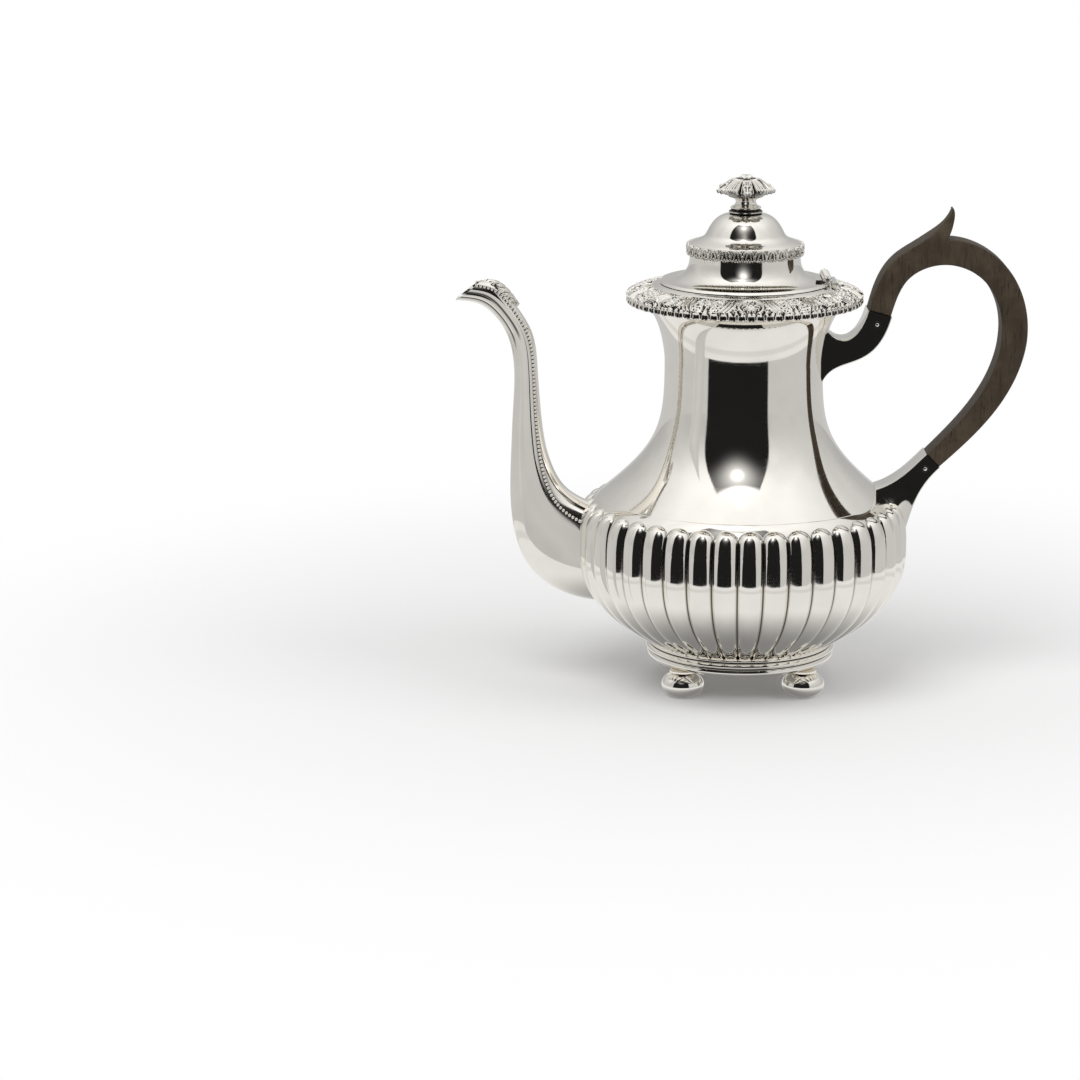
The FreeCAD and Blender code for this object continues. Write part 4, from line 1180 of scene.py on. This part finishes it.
class COFFEEPOT_OT_spout(bpy.types.Operator):
    """Swan-neck spout with bead wires down its inner face and a leaf on its tip"""
    bl_idname = "coffee_pot.spout"
    bl_label = "Spout"

    def execute(self, context):
        size, finishes = settings(context)
        rows, columns = 150, 72
        outer_x, outer_z, inner_x, inner_z, half = np.array(SPOUT_SECTIONS).T
        places = np.stack([-size.bowl_radius - outer_x, RING_TOP + outer_z, -size.bowl_radius - inner_x,
                           RING_TOP + inner_z, half], -1)
        middle = (places[:, 0:2] + places[:, 2:4]) / 2
        self.line = smooth_line(np.concatenate([middle, places], axis=1), rows)[:, 2:]
        self.skin = bowl_skin(size)
        angles = np.arange(columns) / columns * tau
        share = np.linspace(0.0, 1.0, rows + 1)
        fall, dark = self.flutes(angles, share)
        lean = np.abs((angles + pi) % tau - pi)
        # Painted shade: a dark band along each line of beads
        dark = np.maximum(dark, 0.95 * hump(lean, pi - size.bead_line, 0.14))
        grid = np.concatenate([self.shell(angles, fall), self.shell(angles, -size.spout_wall)[::-1]])
        dark = np.concatenate([dark, 0 * dark])
        faces = lattice(len(grid), columns, close_rows=True)
        add_piece("spout_swan_neck", hold_outside(grid, self.skin), faces, polished_silver(finishes), "pot",
                  "spout", dark, crease=50.0)
        for hand, node in ((-1.0, "spout_bead_front"), (1.0, "spout_bead_back")):
            self.beads(size, finishes, hand, node)
        self.leaf(size, finishes)
        return {"FINISHED"}

    def shell(self, angles, grow, line=None):
        """Sections of the spout, with angle 0 on the outer edge."""
        line = self.line if line is None else line
        outer, inner = line[:, 0:2], line[:, 2:4]
        middle, out = (outer + inner) / 2, (outer - inner) / 2
        reach = np.linalg.norm(out, axis=1)[:, None]
        out = out / reach
        far = (reach + grow) * np.cos(angles)
        x = middle[:, :1] + out[:, :1] * far
        z = middle[:, 1:] + out[:, 1:] * far
        return np.stack([x, (line[:, 4:5] + grow) * np.sin(angles), z], -1)

    def flutes(self, angles, share):
        """Hollows along the underside of the tip, which gather at a small drop, with painted shade along
        the bottom of each hollow.
        """
        lean = np.abs((angles + pi) % tau - pi)
        depth = smoothstep(share[:, None] - 0.04 * lean, 0.70, 0.76) * (1 - smoothstep(lean, 1.6, 1.9))
        wave = 0.5 - 0.5 * np.cos(lean * 10.5)
        return -0.7 * depth * wave, 0.9 * depth * smoothstep(wave, 0.55, 0.95)

    def beads(self, size, finishes, hand, node):
        """Row of small balls on a thin wire, which is painted dark as the shade between the balls."""
        radius = size.bead_radius
        turn = np.array([pi - hand * size.bead_line])
        path = self.shell(turn, 0.35 * radius)[:, 0]
        path = path[np.hypot(path[:, 0], path[:, 1]) - radius_at(self.skin, path[:, 2]) > 0.5]
        along = run_length(path)
        spots = np.arange(0.5 * size.bead_pitch, along[-1], size.bead_pitch)
        centres = np.stack([np.interp(spots, along, path[:, k]) for k in range(3)], -1)
        arc = np.linspace(-pi / 2, pi / 2, 7)
        ball = spin(radius * np.stack([np.cos(arc), np.sin(arc)], -1), ring_angles(10)).reshape(-1, 3)
        wire_at = centres[:, None, :] + 0.55 * radius * self.cross(centres)
        points = np.concatenate([(centres[:, None] + ball).reshape(-1, 3), wire_at.reshape(-1, 3)])
        faces = lattice(7, 10)[None] + (np.arange(len(spots)) * len(ball))[:, None, None]
        wire = lattice(len(spots), 6) + len(spots) * len(ball)
        ends = [np.arange(6)[::-1] + wire.min(), np.arange(6) + wire.max() - 5]
        all_faces = faces.reshape(-1, 4).tolist() + wire.tolist() + [end.tolist() for end in ends]
        # Painted shade: the wire fully dark between the balls, the balls hardly dark
        dark = np.concatenate([np.full(len(spots) * len(ball), 0.1), np.ones(wire_at.shape[0] * 6)])
        add_piece(node + "_string", points, all_faces, cast_silver(finishes), "pot", node, dark)

    @staticmethod
    def cross(centres):
        """Six directions round a wire at each of its points."""
        way = np.gradient(centres, axis=0)
        way /= np.linalg.norm(way, axis=1)[:, None]
        first = np.cross(way, (0.0, 1.0, 0.0))
        first /= np.linalg.norm(first, axis=1)[:, None]
        second = np.cross(way, first)
        turn = np.arange(6) / 6 * tau
        return np.cos(turn)[None, :, None] * first[:, None] + np.sin(turn)[None, :, None] * second[:, None]

    def leaf(self, size, finishes):
        """Curled leaf over the top of the tip."""
        rows, columns, long, wide = 41, 41, size.leaf_length, size.leaf_breadth
        mid = wide / 2
        share, side = np.linspace(0.0, 1.0, rows)[:, None], np.linspace(-1.0, 1.0, columns)
        relief = Relief(long, wide, 0.12)
        relief.ridge([(1.0, mid), (long - 1.0, mid)], 0.9, 1.2, 1.5, groove=0.4)
        for k in range(5):
            root = 1.0 + k * (long - 4.0) / 5
            for hand in (-1.0, 1.0):
                path = bow((root, mid), (root + 2.6, mid + 2.6 * hand), (root + 4.0, mid + 3.9 * hand), 6)
                relief.ridge(path, 1.1, 1.2, 1.7, groove=0.3)
        angles = pi - side * radians(50.0)
        far = run_length(self.line[:, 2:4])
        places = far[-1] - long * np.linspace(1.06, 0.06, rows)
        line = np.stack([np.interp(places, far, column) for column in self.line.T], -1)
        spread = np.clip(np.sin(np.clip(share * 1.08, 0.0, 1.0) * pi) ** 0.55, 0.15, 1.0)
        spread = spread * (0.9 + 0.1 * np.cos(share * 5 * tau))
        u, v = share * long + 0 * side, mid + side * 4.6 + 0 * share
        inside = smoothstep(spread - np.abs(side), -0.05, 0.12)
        lift = (0.3 + relief.sample(relief.height, u, v)) * inside
        top, lifted, under = (self.shell(angles, grow, line) for grow in (0.1, 1.1, -0.5))
        upper = top + (lifted - top) * lift[..., None]
        points = np.concatenate([upper.reshape(-1, 3), under.reshape(-1, 3)])
        dark = np.concatenate([relief.sample(relief.recesses(1.5), u, v) * inside, 0 * u])
        n = rows * columns
        face = lattice(rows, columns, close_columns=False)
        index = np.arange(n).reshape(rows, columns)
        loop = np.concatenate([index[0], index[1:, -1], index[-1, -2::-1], index[-2:0:-1, 0]])
        ahead = np.roll(loop, -1)
        wall = np.stack([loop, ahead, ahead + n, loop + n], -1)
        faces = np.concatenate([face, face[:, ::-1] + n, wall])
        add_piece("spout_leaf_cast", points, faces, cast_silver(finishes), "pot", "spout_leaf", dark,
                  crease=60.0)


# Places on the grip's middle line, out and up from the neck's waist
GRIP_PLACES = ((26.6, 24.3), (58.1, 53.8), (91.4, 19.0))
# The grip's lower end, out and up from the seam under the shoulder
GRIP_END = (23.2, 17.5)
# Where each stretch between those places bends and how far, as shares of the stretch
GRIP_BENDS = ((0.47, 0.2), (0.46, 0.2), (0.42, 0.114))


def flat_piece(name, points, thickness, rounding, finish, node, shape):
    """Piece sawn from a board: a closed outline in the XZ plane with rounded edges, changed by shape."""
    curve = bpy.data.curves.new(name, "CURVE")
    curve.dimensions = "2D"
    curve.fill_mode = "BOTH"
    curve.extrude = (thickness / 2 - rounding) * MM
    curve.bevel_depth = rounding * MM
    curve.bevel_resolution = 4
    curve.offset = -rounding * MM
    spline = curve.splines.new("POLY")
    spline.points.add(len(points) - 1)
    spots = np.column_stack([points * MM, np.zeros(len(points)), np.ones(len(points))])
    spline.points.foreach_set("co", spots.reshape(-1))
    spline.use_cyclic_u = True
    holder = bpy.data.objects.new(name + "_outline", curve)
    bpy.context.scene.collection.objects.link(holder)
    mesh = bpy.data.meshes.new_from_object(holder.evaluated_get(bpy.context.evaluated_depsgraph_get()))
    bpy.data.objects.remove(holder)
    bpy.data.curves.remove(curve)
    mesh.name = name
    flat = np.empty(len(mesh.vertices) * 3)
    mesh.vertices.foreach_get("co", flat)
    flat = flat.reshape(-1, 3) / MM
    spots = shape(np.stack([flat[:, 0], -flat[:, 2], flat[:, 1]], -1))
    mesh.vertices.foreach_set("co", (spots * MM).reshape(-1))
    mesh.materials.clear()
    return finish_piece(mesh, name, finish, "pot", node, 30.0)


class COFFEEPOT_OT_handle(bpy.types.Operator):
    """Wooden grip with its thumb spur, two sockets and the pins through them"""
    bl_idname = "coffee_pot.handle"
    bl_label = "Handle"

    def execute(self, context):
        size, finishes = settings(context)
        self.size = size
        waist = np.array([size.waist_radius, SEAM + size.waist_rise])
        places = [*(waist + GRIP_PLACES), np.array([size.shoulder_radius, SEAM]) + GRIP_END]
        points = places[:1]
        for a, b, (share, lift) in zip(places, places[1:], GRIP_BENDS):
            points += [self.between(a, b, share, lift), b]
        line = smooth_line(points, 160)
        way = np.gradient(line, axis=0)
        way /= np.linalg.norm(way, axis=1)[:, None]
        side = np.stack([-way[:, 1], way[:, 0]], -1)
        widths = [size.grip_upper_width, size.grip_width, size.grip_width, size.grip_lower_width]
        half = np.interp(np.linspace(0.0, 1.0, 161), [0.0, 0.3, 0.6, 1.0], widths)[:, None] / 2
        self.grip(line + side * half, line - side * half, places[1], finishes)
        ends = side[[0, -1]] * (half[[0, -1]] + size.socket_overhang)
        self.upper_socket(line[0] - way[0] * size.gap, way[0], ends[0], waist, finishes)
        self.lower_socket(line[-1] + way[-1] * size.gap, way[-1], ends[1], finishes)
        self.pin("handle_upper_pin", line[0] - way[0] * size.tenon / 2, finishes)
        self.pin("handle_lower_pin", line[-1] + way[-1] * size.tenon / 2, finishes)
        return {"FINISHED"}

    @staticmethod
    def between(a, b, share, lift):
        """Point a share of the way from a to b, lifted to the left by a share of their distance."""
        step = b - a
        return a + share * step + lift * np.array([-step[1], step[0]])

    def grip(self, outer, inner, crown, finishes):
        """Bent grip with a thumb spur on its crown."""
        size, (x, z) = self.size, crown
        top, long, tall = z + size.grip_width / 2, size.spur_length, size.spur_height
        tip = np.array([x + 0.19 * long, top + tall])
        start = np.argmax(outer[:, 0] > x - 1.45 * long)
        end = np.argmax(outer[:, 0] > x + 0.12 * long)
        way = outer[start] - outer[start - 1]
        way = way / np.hypot(*way) * 0.6 * long
        front = bezier(outer[start], outer[start] + way, (x + 0.02 * long, top + 0.4 * tall), tip, 24)
        rear = bezier(tip, (x + 0.3 * long, top + 0.85 * tall), (x + 0.28 * long, top + 0.45 * tall),
                      (x - 0.02 * long, top - 0.4), 20)
        points = outline(outer[:start], front, rear, outer[end:], inner[::-1])
        keep = [points[0]]
        for p in points[1:]:
            if np.hypot(*(p - keep[-1])) > 0.15:
                keep.append(p)

        def taper(spots):
            near = np.abs(spots[:, 0] - x) < 9.0
            up = np.where(near, smoothstep(spots[:, 2], top - 0.2, top + 0.6 * tall), 0.0)
            spots[:, 1] *= 1 - 0.5 * up
            return spots

        flat_piece("handle_grip_wood", np.array(keep), size.grip_thickness, size.grip_round,
                   dark_wood(finishes), "handle_grip", taper)

    def upper_socket(self, place, way, side, waist, finishes):
        """Scroll from the neck up to the grip's upper end."""
        left, right = place + side, place - side
        root = waist[0] - self.size.upper_root_sink
        top, bottom = waist[1] + self.size.upper_root_top, waist[1] - self.size.upper_root_foot
        over = bezier((root, top), (root + 5.8, top - 17.8), left - way * 21.9, left, 48)
        under = bezier((root, bottom), (root, bottom + 39.9), right - way * 37.9, right, 48)
        self.socket("handle_upper_socket", over, under, neck_outline(self.size, 0.0), 0.0, finishes)

    def lower_socket(self, place, way, side, finishes):
        """Bracket from the shoulder out to the grip's lower end."""
        outer, inner = place + side, place - side
        root = self.size.shoulder_radius - self.size.lower_root_sink
        top, bottom = SEAM + self.size.lower_root_top, SEAM - self.size.lower_root_foot
        front = root + self.size.lower_root_front
        over = bezier((root, top), (root + 12.5, top + 2.1), inner + way * 8.4, inner, 48)
        under = bezier((front, bottom), (front + 5.7, bottom + 20.8), outer + way * 8.4, outer, 48)
        skin = outline(bowl_skin(self.size), neck_outline(self.size, 0.0))
        self.socket("handle_lower_socket", over, under, skin, self.size.socket_flare, finishes)

    def socket(self, node, over, under, skin, flare, finishes):
        """Bar with flat sides between two curves from root to grip, which spreads towards the skin."""
        half, edge = self.size.grip_thickness / 2 + self.size.socket_overhang, self.size.socket_round
        across = under - over
        deep = np.linalg.norm(across, axis=1)[:, None]
        turn = np.linspace(0.0, pi / 2, 4)
        share = np.array([0.02, *np.linspace(0.1, 0.9, 9), 0.98])
        flat = edge + share * (deep - 2 * edge)
        round_near = edge * (1 - np.cos(turn)) + 0 * deep
        round_far = deep - edge * (1 - np.sin(turn))
        front = np.concatenate([round_near, flat, round_far], axis=1)
        lift = np.concatenate([edge * (1 - np.sin(turn)), 0 * share, edge * (1 - np.cos(turn))])
        along = np.concatenate([front, front[:, ::-1]], axis=1)
        y = np.concatenate([lift - half, half - lift[::-1]]) + 0 * deep
        spots = over[:, None] + across[:, None] * (along / deep)[..., None]
        away = np.hypot(spots[..., 0], y) - radius_at(skin, spots[..., 1])
        near = np.clip(1 - away / self.size.flare_reach, 0.0, 1.0) ** 2
        y = y * (1 + flare / half * near * smoothstep(along / deep, 0.1, 0.7))
        grid = hold_outside(np.stack([spots[..., 0], y, spots[..., 1]], -1), skin)
        rows, columns = y.shape
        faces = lattice(rows, columns).tolist()
        faces += [list(range(columns))[::-1], list(range((rows - 1) * columns, rows * columns))]
        add_piece(node + "_cast", grid, faces, polished_silver(finishes), "pot", node, crease=40.0)

    def pin(self, node, place, finishes):
        """Pin across a socket, with a domed head at each end."""
        size = self.size
        half = size.grip_thickness / 2 + size.socket_overhang + size.gap
        rise, wide, thin = size.pin_head_rise, size.pin_head, size.pin_radius
        boss = 0.55 * wide
        dome = bezier((boss, half + 0.15), (boss, half + 0.7 * rise), (0.5 * boss, half + rise),
                      (0.0, half + rise), 8)
        head = outline((wide, half), (wide - 0.15, half + 0.15), dome)
        points = outline((head * (1, -1))[::-1], (thin, -half), (thin, half), head)
        grid = lay_along_y(spin(points, ring_angles(40)), *place)
        dark = np.repeat(smoothstep(points[:, 0], boss - 0.1, boss + 0.1), 40)
        add_piece(node + "_turned", grid, lattice(len(points), 40), pin_metal(finishes), "pot", node, dark)


# Reflected lamp: half width and half height in degrees, and brightness, of its heart, its glow and its haze
LAMP_HALOS = ((3.4, 3.4, 3.0), (12.5, 14.0, 0.85), (30.0, 9.0, 0.12))
GROUND_REACH = 6.0


class COFFEEPOT_OT_stage(bpy.types.Operator):
    """Pale floor, soft light and the camera"""
    bl_idname = "coffee_pot.stage"
    bl_label = "Stage"

    def execute(self, context):
        self.scene, self.stage = context.scene, context.scene.coffee_pot_stage
        self.camera()
        self.world()
        self.floor(context.scene.coffee_pot_finishes)
        self.table()
        self.card()
        self.glow()
        self.lamp("key_lamp", place=(-0.5, -0.9, 1.7), tilt=33.0, turn=-30.0, size=1.2, power=16.0)
        self.lamp("fill_lamp", place=(1.3, -0.5, 1.1), tilt=52.0, turn=68.0, size=1.0, power=7.0)
        self.scene.view_settings.view_transform = "Standard"
        return {"FINISHED"}

    def put(self, name, data):
        """New object in the scene."""
        thing = bpy.data.objects.new(name, data)
        self.scene.collection.objects.link(thing)
        return thing

    def camera(self):
        lens = bpy.data.cameras.new("photo_camera")
        lens.sensor_width = 36.0
        lens.lens = self.stage.camera_lens
        camera = self.put("photo_camera", lens)
        camera.location = self.stage.camera_place
        camera.rotation_euler = Euler((pi / 2 - self.stage.camera_pitch, 0.0, 0.0))
        self.scene.camera = camera

    def lamp(self, name, place, tilt, turn, size, power):
        """Soft lamp, tilted and turned by degrees, which neither the camera nor the metal sees."""
        light = bpy.data.lights.new(name, "AREA")
        light.size = size
        light.energy = power
        lamp = self.put(name, light)
        lamp.location = place
        lamp.rotation_euler = (radians(tilt), 0.0, radians(turn))
        lamp.visible_glossy = False
        lamp.visible_camera = False

    @staticmethod
    def bearing(nodes, x, y):
        """Direction from straight in front of the pot."""
        return nodes.math("ARCTAN2", x, nodes.times(y, -1.0))

    def bay(self, nodes, bearing, half):
        """One in the dark bay in front of the pot, with half its width."""
        turned = nodes.math("ABSOLUTE", nodes.minus(bearing, self.stage.bay_turn))
        return nodes.span(nodes.minus(half, turned), -self.stage.bay_edge, self.stage.bay_edge)

    def world(self):
        """White to the camera, and to the metal a bright room with a dark bay and a lamp in front."""
        stage = self.stage
        world = bpy.data.worlds.new("studio")
        world.use_nodes = True
        self.scene.world = world
        nodes = Nodes(world.node_tree)
        way = nodes.add("ShaderNodeTexCoord").outputs["Generated"]
        x, y, z = nodes.split(way)
        rise, bearing = nodes.math("ARCSINE", z), self.bearing(nodes, x, y)
        wall = nodes.span(rise, radians(5.0), stage.bay_top, stage.wall_low, stage.wall_high)
        wall = nodes.times(wall, nodes.span(nodes.noise(way, 1.6, 2.0), 0.3, 0.7, 0.93, 1.05))
        wall = nodes.times(wall, nodes.span(y, 0.3, 0.95, 1.0, stage.wall_back))
        half = nodes.span(rise, 0.0, radians(60.0), stage.bay_half, stage.bay_half + stage.bay_spread)
        below = nodes.span(rise, stage.bay_top - stage.bay_edge, stage.bay_top + stage.bay_edge, 1.0, 0.0)
        room = nodes.mix(nodes.times(self.bay(nodes, bearing, half), below), wall, stage.bay_tone)
        aside = nodes.times(nodes.minus(bearing, stage.lamp_turn), nodes.math("COSINE", rise))
        above = nodes.minus(rise, stage.lamp_rise)
        for wide, tall, level in LAMP_HALOS:
            halo = nodes.halo(aside, radians(wide), above, radians(tall))
            room = nodes.plus(room, nodes.times(halo, level))
        path = nodes.add("ShaderNodeLightPath").outputs
        shiny = nodes.math("MAXIMUM", path["Is Glossy Ray"], path["Is Transmission Ray"])
        strength = nodes.mix(path["Is Camera Ray"], nodes.mix(shiny, stage.soft_light, room), 1.0)
        backdrop = nodes.add("ShaderNodeBackground")
        nodes.give(backdrop, Color=(1.0, 1.0, 1.0, 1.0), Strength=strength)
        nodes.feed(nodes.add("ShaderNodeOutputWorld").inputs["Surface"], backdrop.outputs["Background"])

    def floor(self, finishes):
        """Pale floor that goes white far off."""
        finish, nodes = new_finish("pale_floor")
        seen = nodes.add("ShaderNodeLightPath").outputs["Is Camera Ray"]
        white = nodes.times(nodes.span(nodes.distance(nodes.place()), 0.14, 0.5), seen)
        plain = nodes.give(nodes.add("ShaderNodeBsdfDiffuse"), Color=(*finishes.floor, 1.0))
        nodes.surface(nodes.mixed(white, plain, nodes.emission(1.0)))
        self.level("floor", 0.0, finish).visible_glossy = False

    def table(self):
        """Round table with a darker band near its edge and a painted shadow under the pot, below the feet,
        which only the metal sees.
        """
        stage = self.stage
        finish, nodes = new_finish("mirrored_table")
        place = nodes.place()
        x, y, _ = nodes.split(place)
        away, edge = nodes.distance(place), stage.table_radius
        band = nodes.times(nodes.span(away, 0.33, 0.34), nodes.span(away, 0.37, 0.4, 1.0, 0.0))
        # Painted shadow: darkest under the pot, brightening outwards to the table's tone
        top = nodes.span(away, 0.05, 0.175, stage.table_shade, stage.table_tone)
        top = nodes.mix(band, top, stage.table_band)
        bay = self.bay(nodes, self.bearing(nodes, x, y), stage.bay_half)
        beyond = nodes.mix(bay, stage.beyond_tone, stage.bay_tone)
        nodes.surface(nodes.emission(nodes.mix(nodes.span(away, edge - 0.003, edge + 0.003), top, beyond)))
        self.only_mirrored(self.level("mirrored_table", -stage.table_drop, finish))

    def card(self):
        """Pale card in front of the spout, which only the metal sees."""
        finish, nodes = new_finish("pale_card")
        mottle = nodes.noise(nodes.place(), 8.0, 2.0)
        nodes.surface(nodes.emission(nodes.span(mottle, 0.3, 0.7, 0.54, 0.68)))
        self.only_mirrored(self.upright("spout_card", (-0.205, -0.076), -0.06, (0.03, 0.205), finish))

    def glow(self):
        """Soft glow before the lid, which only the metal sees."""
        finish, nodes = new_finish("lid_glow")
        middle_x, middle_z, wide, tall = -0.009, 0.254, 0.012, 0.03
        x, _, z = nodes.split(nodes.place())
        share = nodes.halo(nodes.minus(x, middle_x), wide, nodes.minus(z, middle_z), tall)
        clear = nodes.add("ShaderNodeBsdfTransparent")
        nodes.surface(nodes.mixed(share, clear, nodes.emission(1.5)))
        sides = (middle_x - 2 * wide, middle_x + 2 * wide)
        ends = (middle_z - 2 * tall, middle_z + 2 * tall)
        self.only_mirrored(self.upright("lid_glow", sides, -0.086, ends, finish))

    def level(self, name, z, finish):
        """Wide level sheet."""
        far = GROUND_REACH
        return self.sheet(name, [(-far, -far, z), (far, -far, z), (far, far, z), (-far, far, z)], finish)

    def upright(self, name, x, y, z, finish):
        """Sheet that stands across the view, between two sides and two heights."""
        corners = [(x[0], y, z[0]), (x[1], y, z[0]), (x[1], y, z[1]), (x[0], y, z[1])]
        return self.sheet(name, corners, finish)

    def sheet(self, name, corners, finish):
        """Flat sheet of the stage."""
        mesh = bpy.data.meshes.new(name)
        mesh.from_pydata(corners, [], [(0, 1, 2, 3)])
        mesh.materials.append(finish)
        sheet = self.put(name, mesh)
        return sheet

    @staticmethod
    def only_mirrored(sheet):
        sheet.visible_camera = False
        sheet.visible_diffuse = False
        sheet.visible_shadow = False


class COFFEEPOT_PT_panel(bpy.types.Panel):
    bl_label = "Coffee pot"
    bl_idname = "COFFEEPOT_PT_panel"
    bl_space_type = "VIEW_3D"
    bl_region_type = "UI"
    bl_category = "Coffee pot"

    def draw(self, context):
        scene = context.scene
        for operator in OPERATORS:
            self.layout.operator(operator.bl_idname)
        for group in (scene.coffee_pot_sizes, scene.coffee_pot_finishes, scene.coffee_pot_stage):
            for name in group.__annotations__:
                self.layout.prop(group, name)


OPERATORS = (COFFEEPOT_OT_bowl, COFFEEPOT_OT_neck, COFFEEPOT_OT_foot, COFFEEPOT_OT_rim, COFFEEPOT_OT_lid,
             COFFEEPOT_OT_finial, COFFEEPOT_OT_hinge, COFFEEPOT_OT_spout, COFFEEPOT_OT_handle,
             COFFEEPOT_OT_stage)
CLASSES = (CoffeePotSizes, CoffeePotFinishes, CoffeePotStage) + OPERATORS + (COFFEEPOT_PT_panel,)


def register():
    for cls in CLASSES:
        bpy.utils.register_class(cls)
    bpy.types.Scene.coffee_pot_sizes = bpy.props.PointerProperty(type=CoffeePotSizes)
    bpy.types.Scene.coffee_pot_finishes = bpy.props.PointerProperty(type=CoffeePotFinishes)
    bpy.types.Scene.coffee_pot_stage = bpy.props.PointerProperty(type=CoffeePotStage)


def unregister():
    del bpy.types.Scene.coffee_pot_stage
    del bpy.types.Scene.coffee_pot_finishes
    del bpy.types.Scene.coffee_pot_sizes
    for cls in reversed(CLASSES):
        bpy.utils.unregister_class(cls)


def main():
    register()
    bpy.ops.coffee_pot.bowl()
    bpy.ops.coffee_pot.neck()
    bpy.ops.coffee_pot.foot()
    bpy.ops.coffee_pot.rim()
    bpy.ops.coffee_pot.lid()
    bpy.ops.coffee_pot.finial()
    bpy.ops.coffee_pot.hinge()
    bpy.ops.coffee_pot.spout()
    bpy.ops.coffee_pot.handle()
    bpy.ops.coffee_pot.stage()


if __name__ == "__main__":
    main()
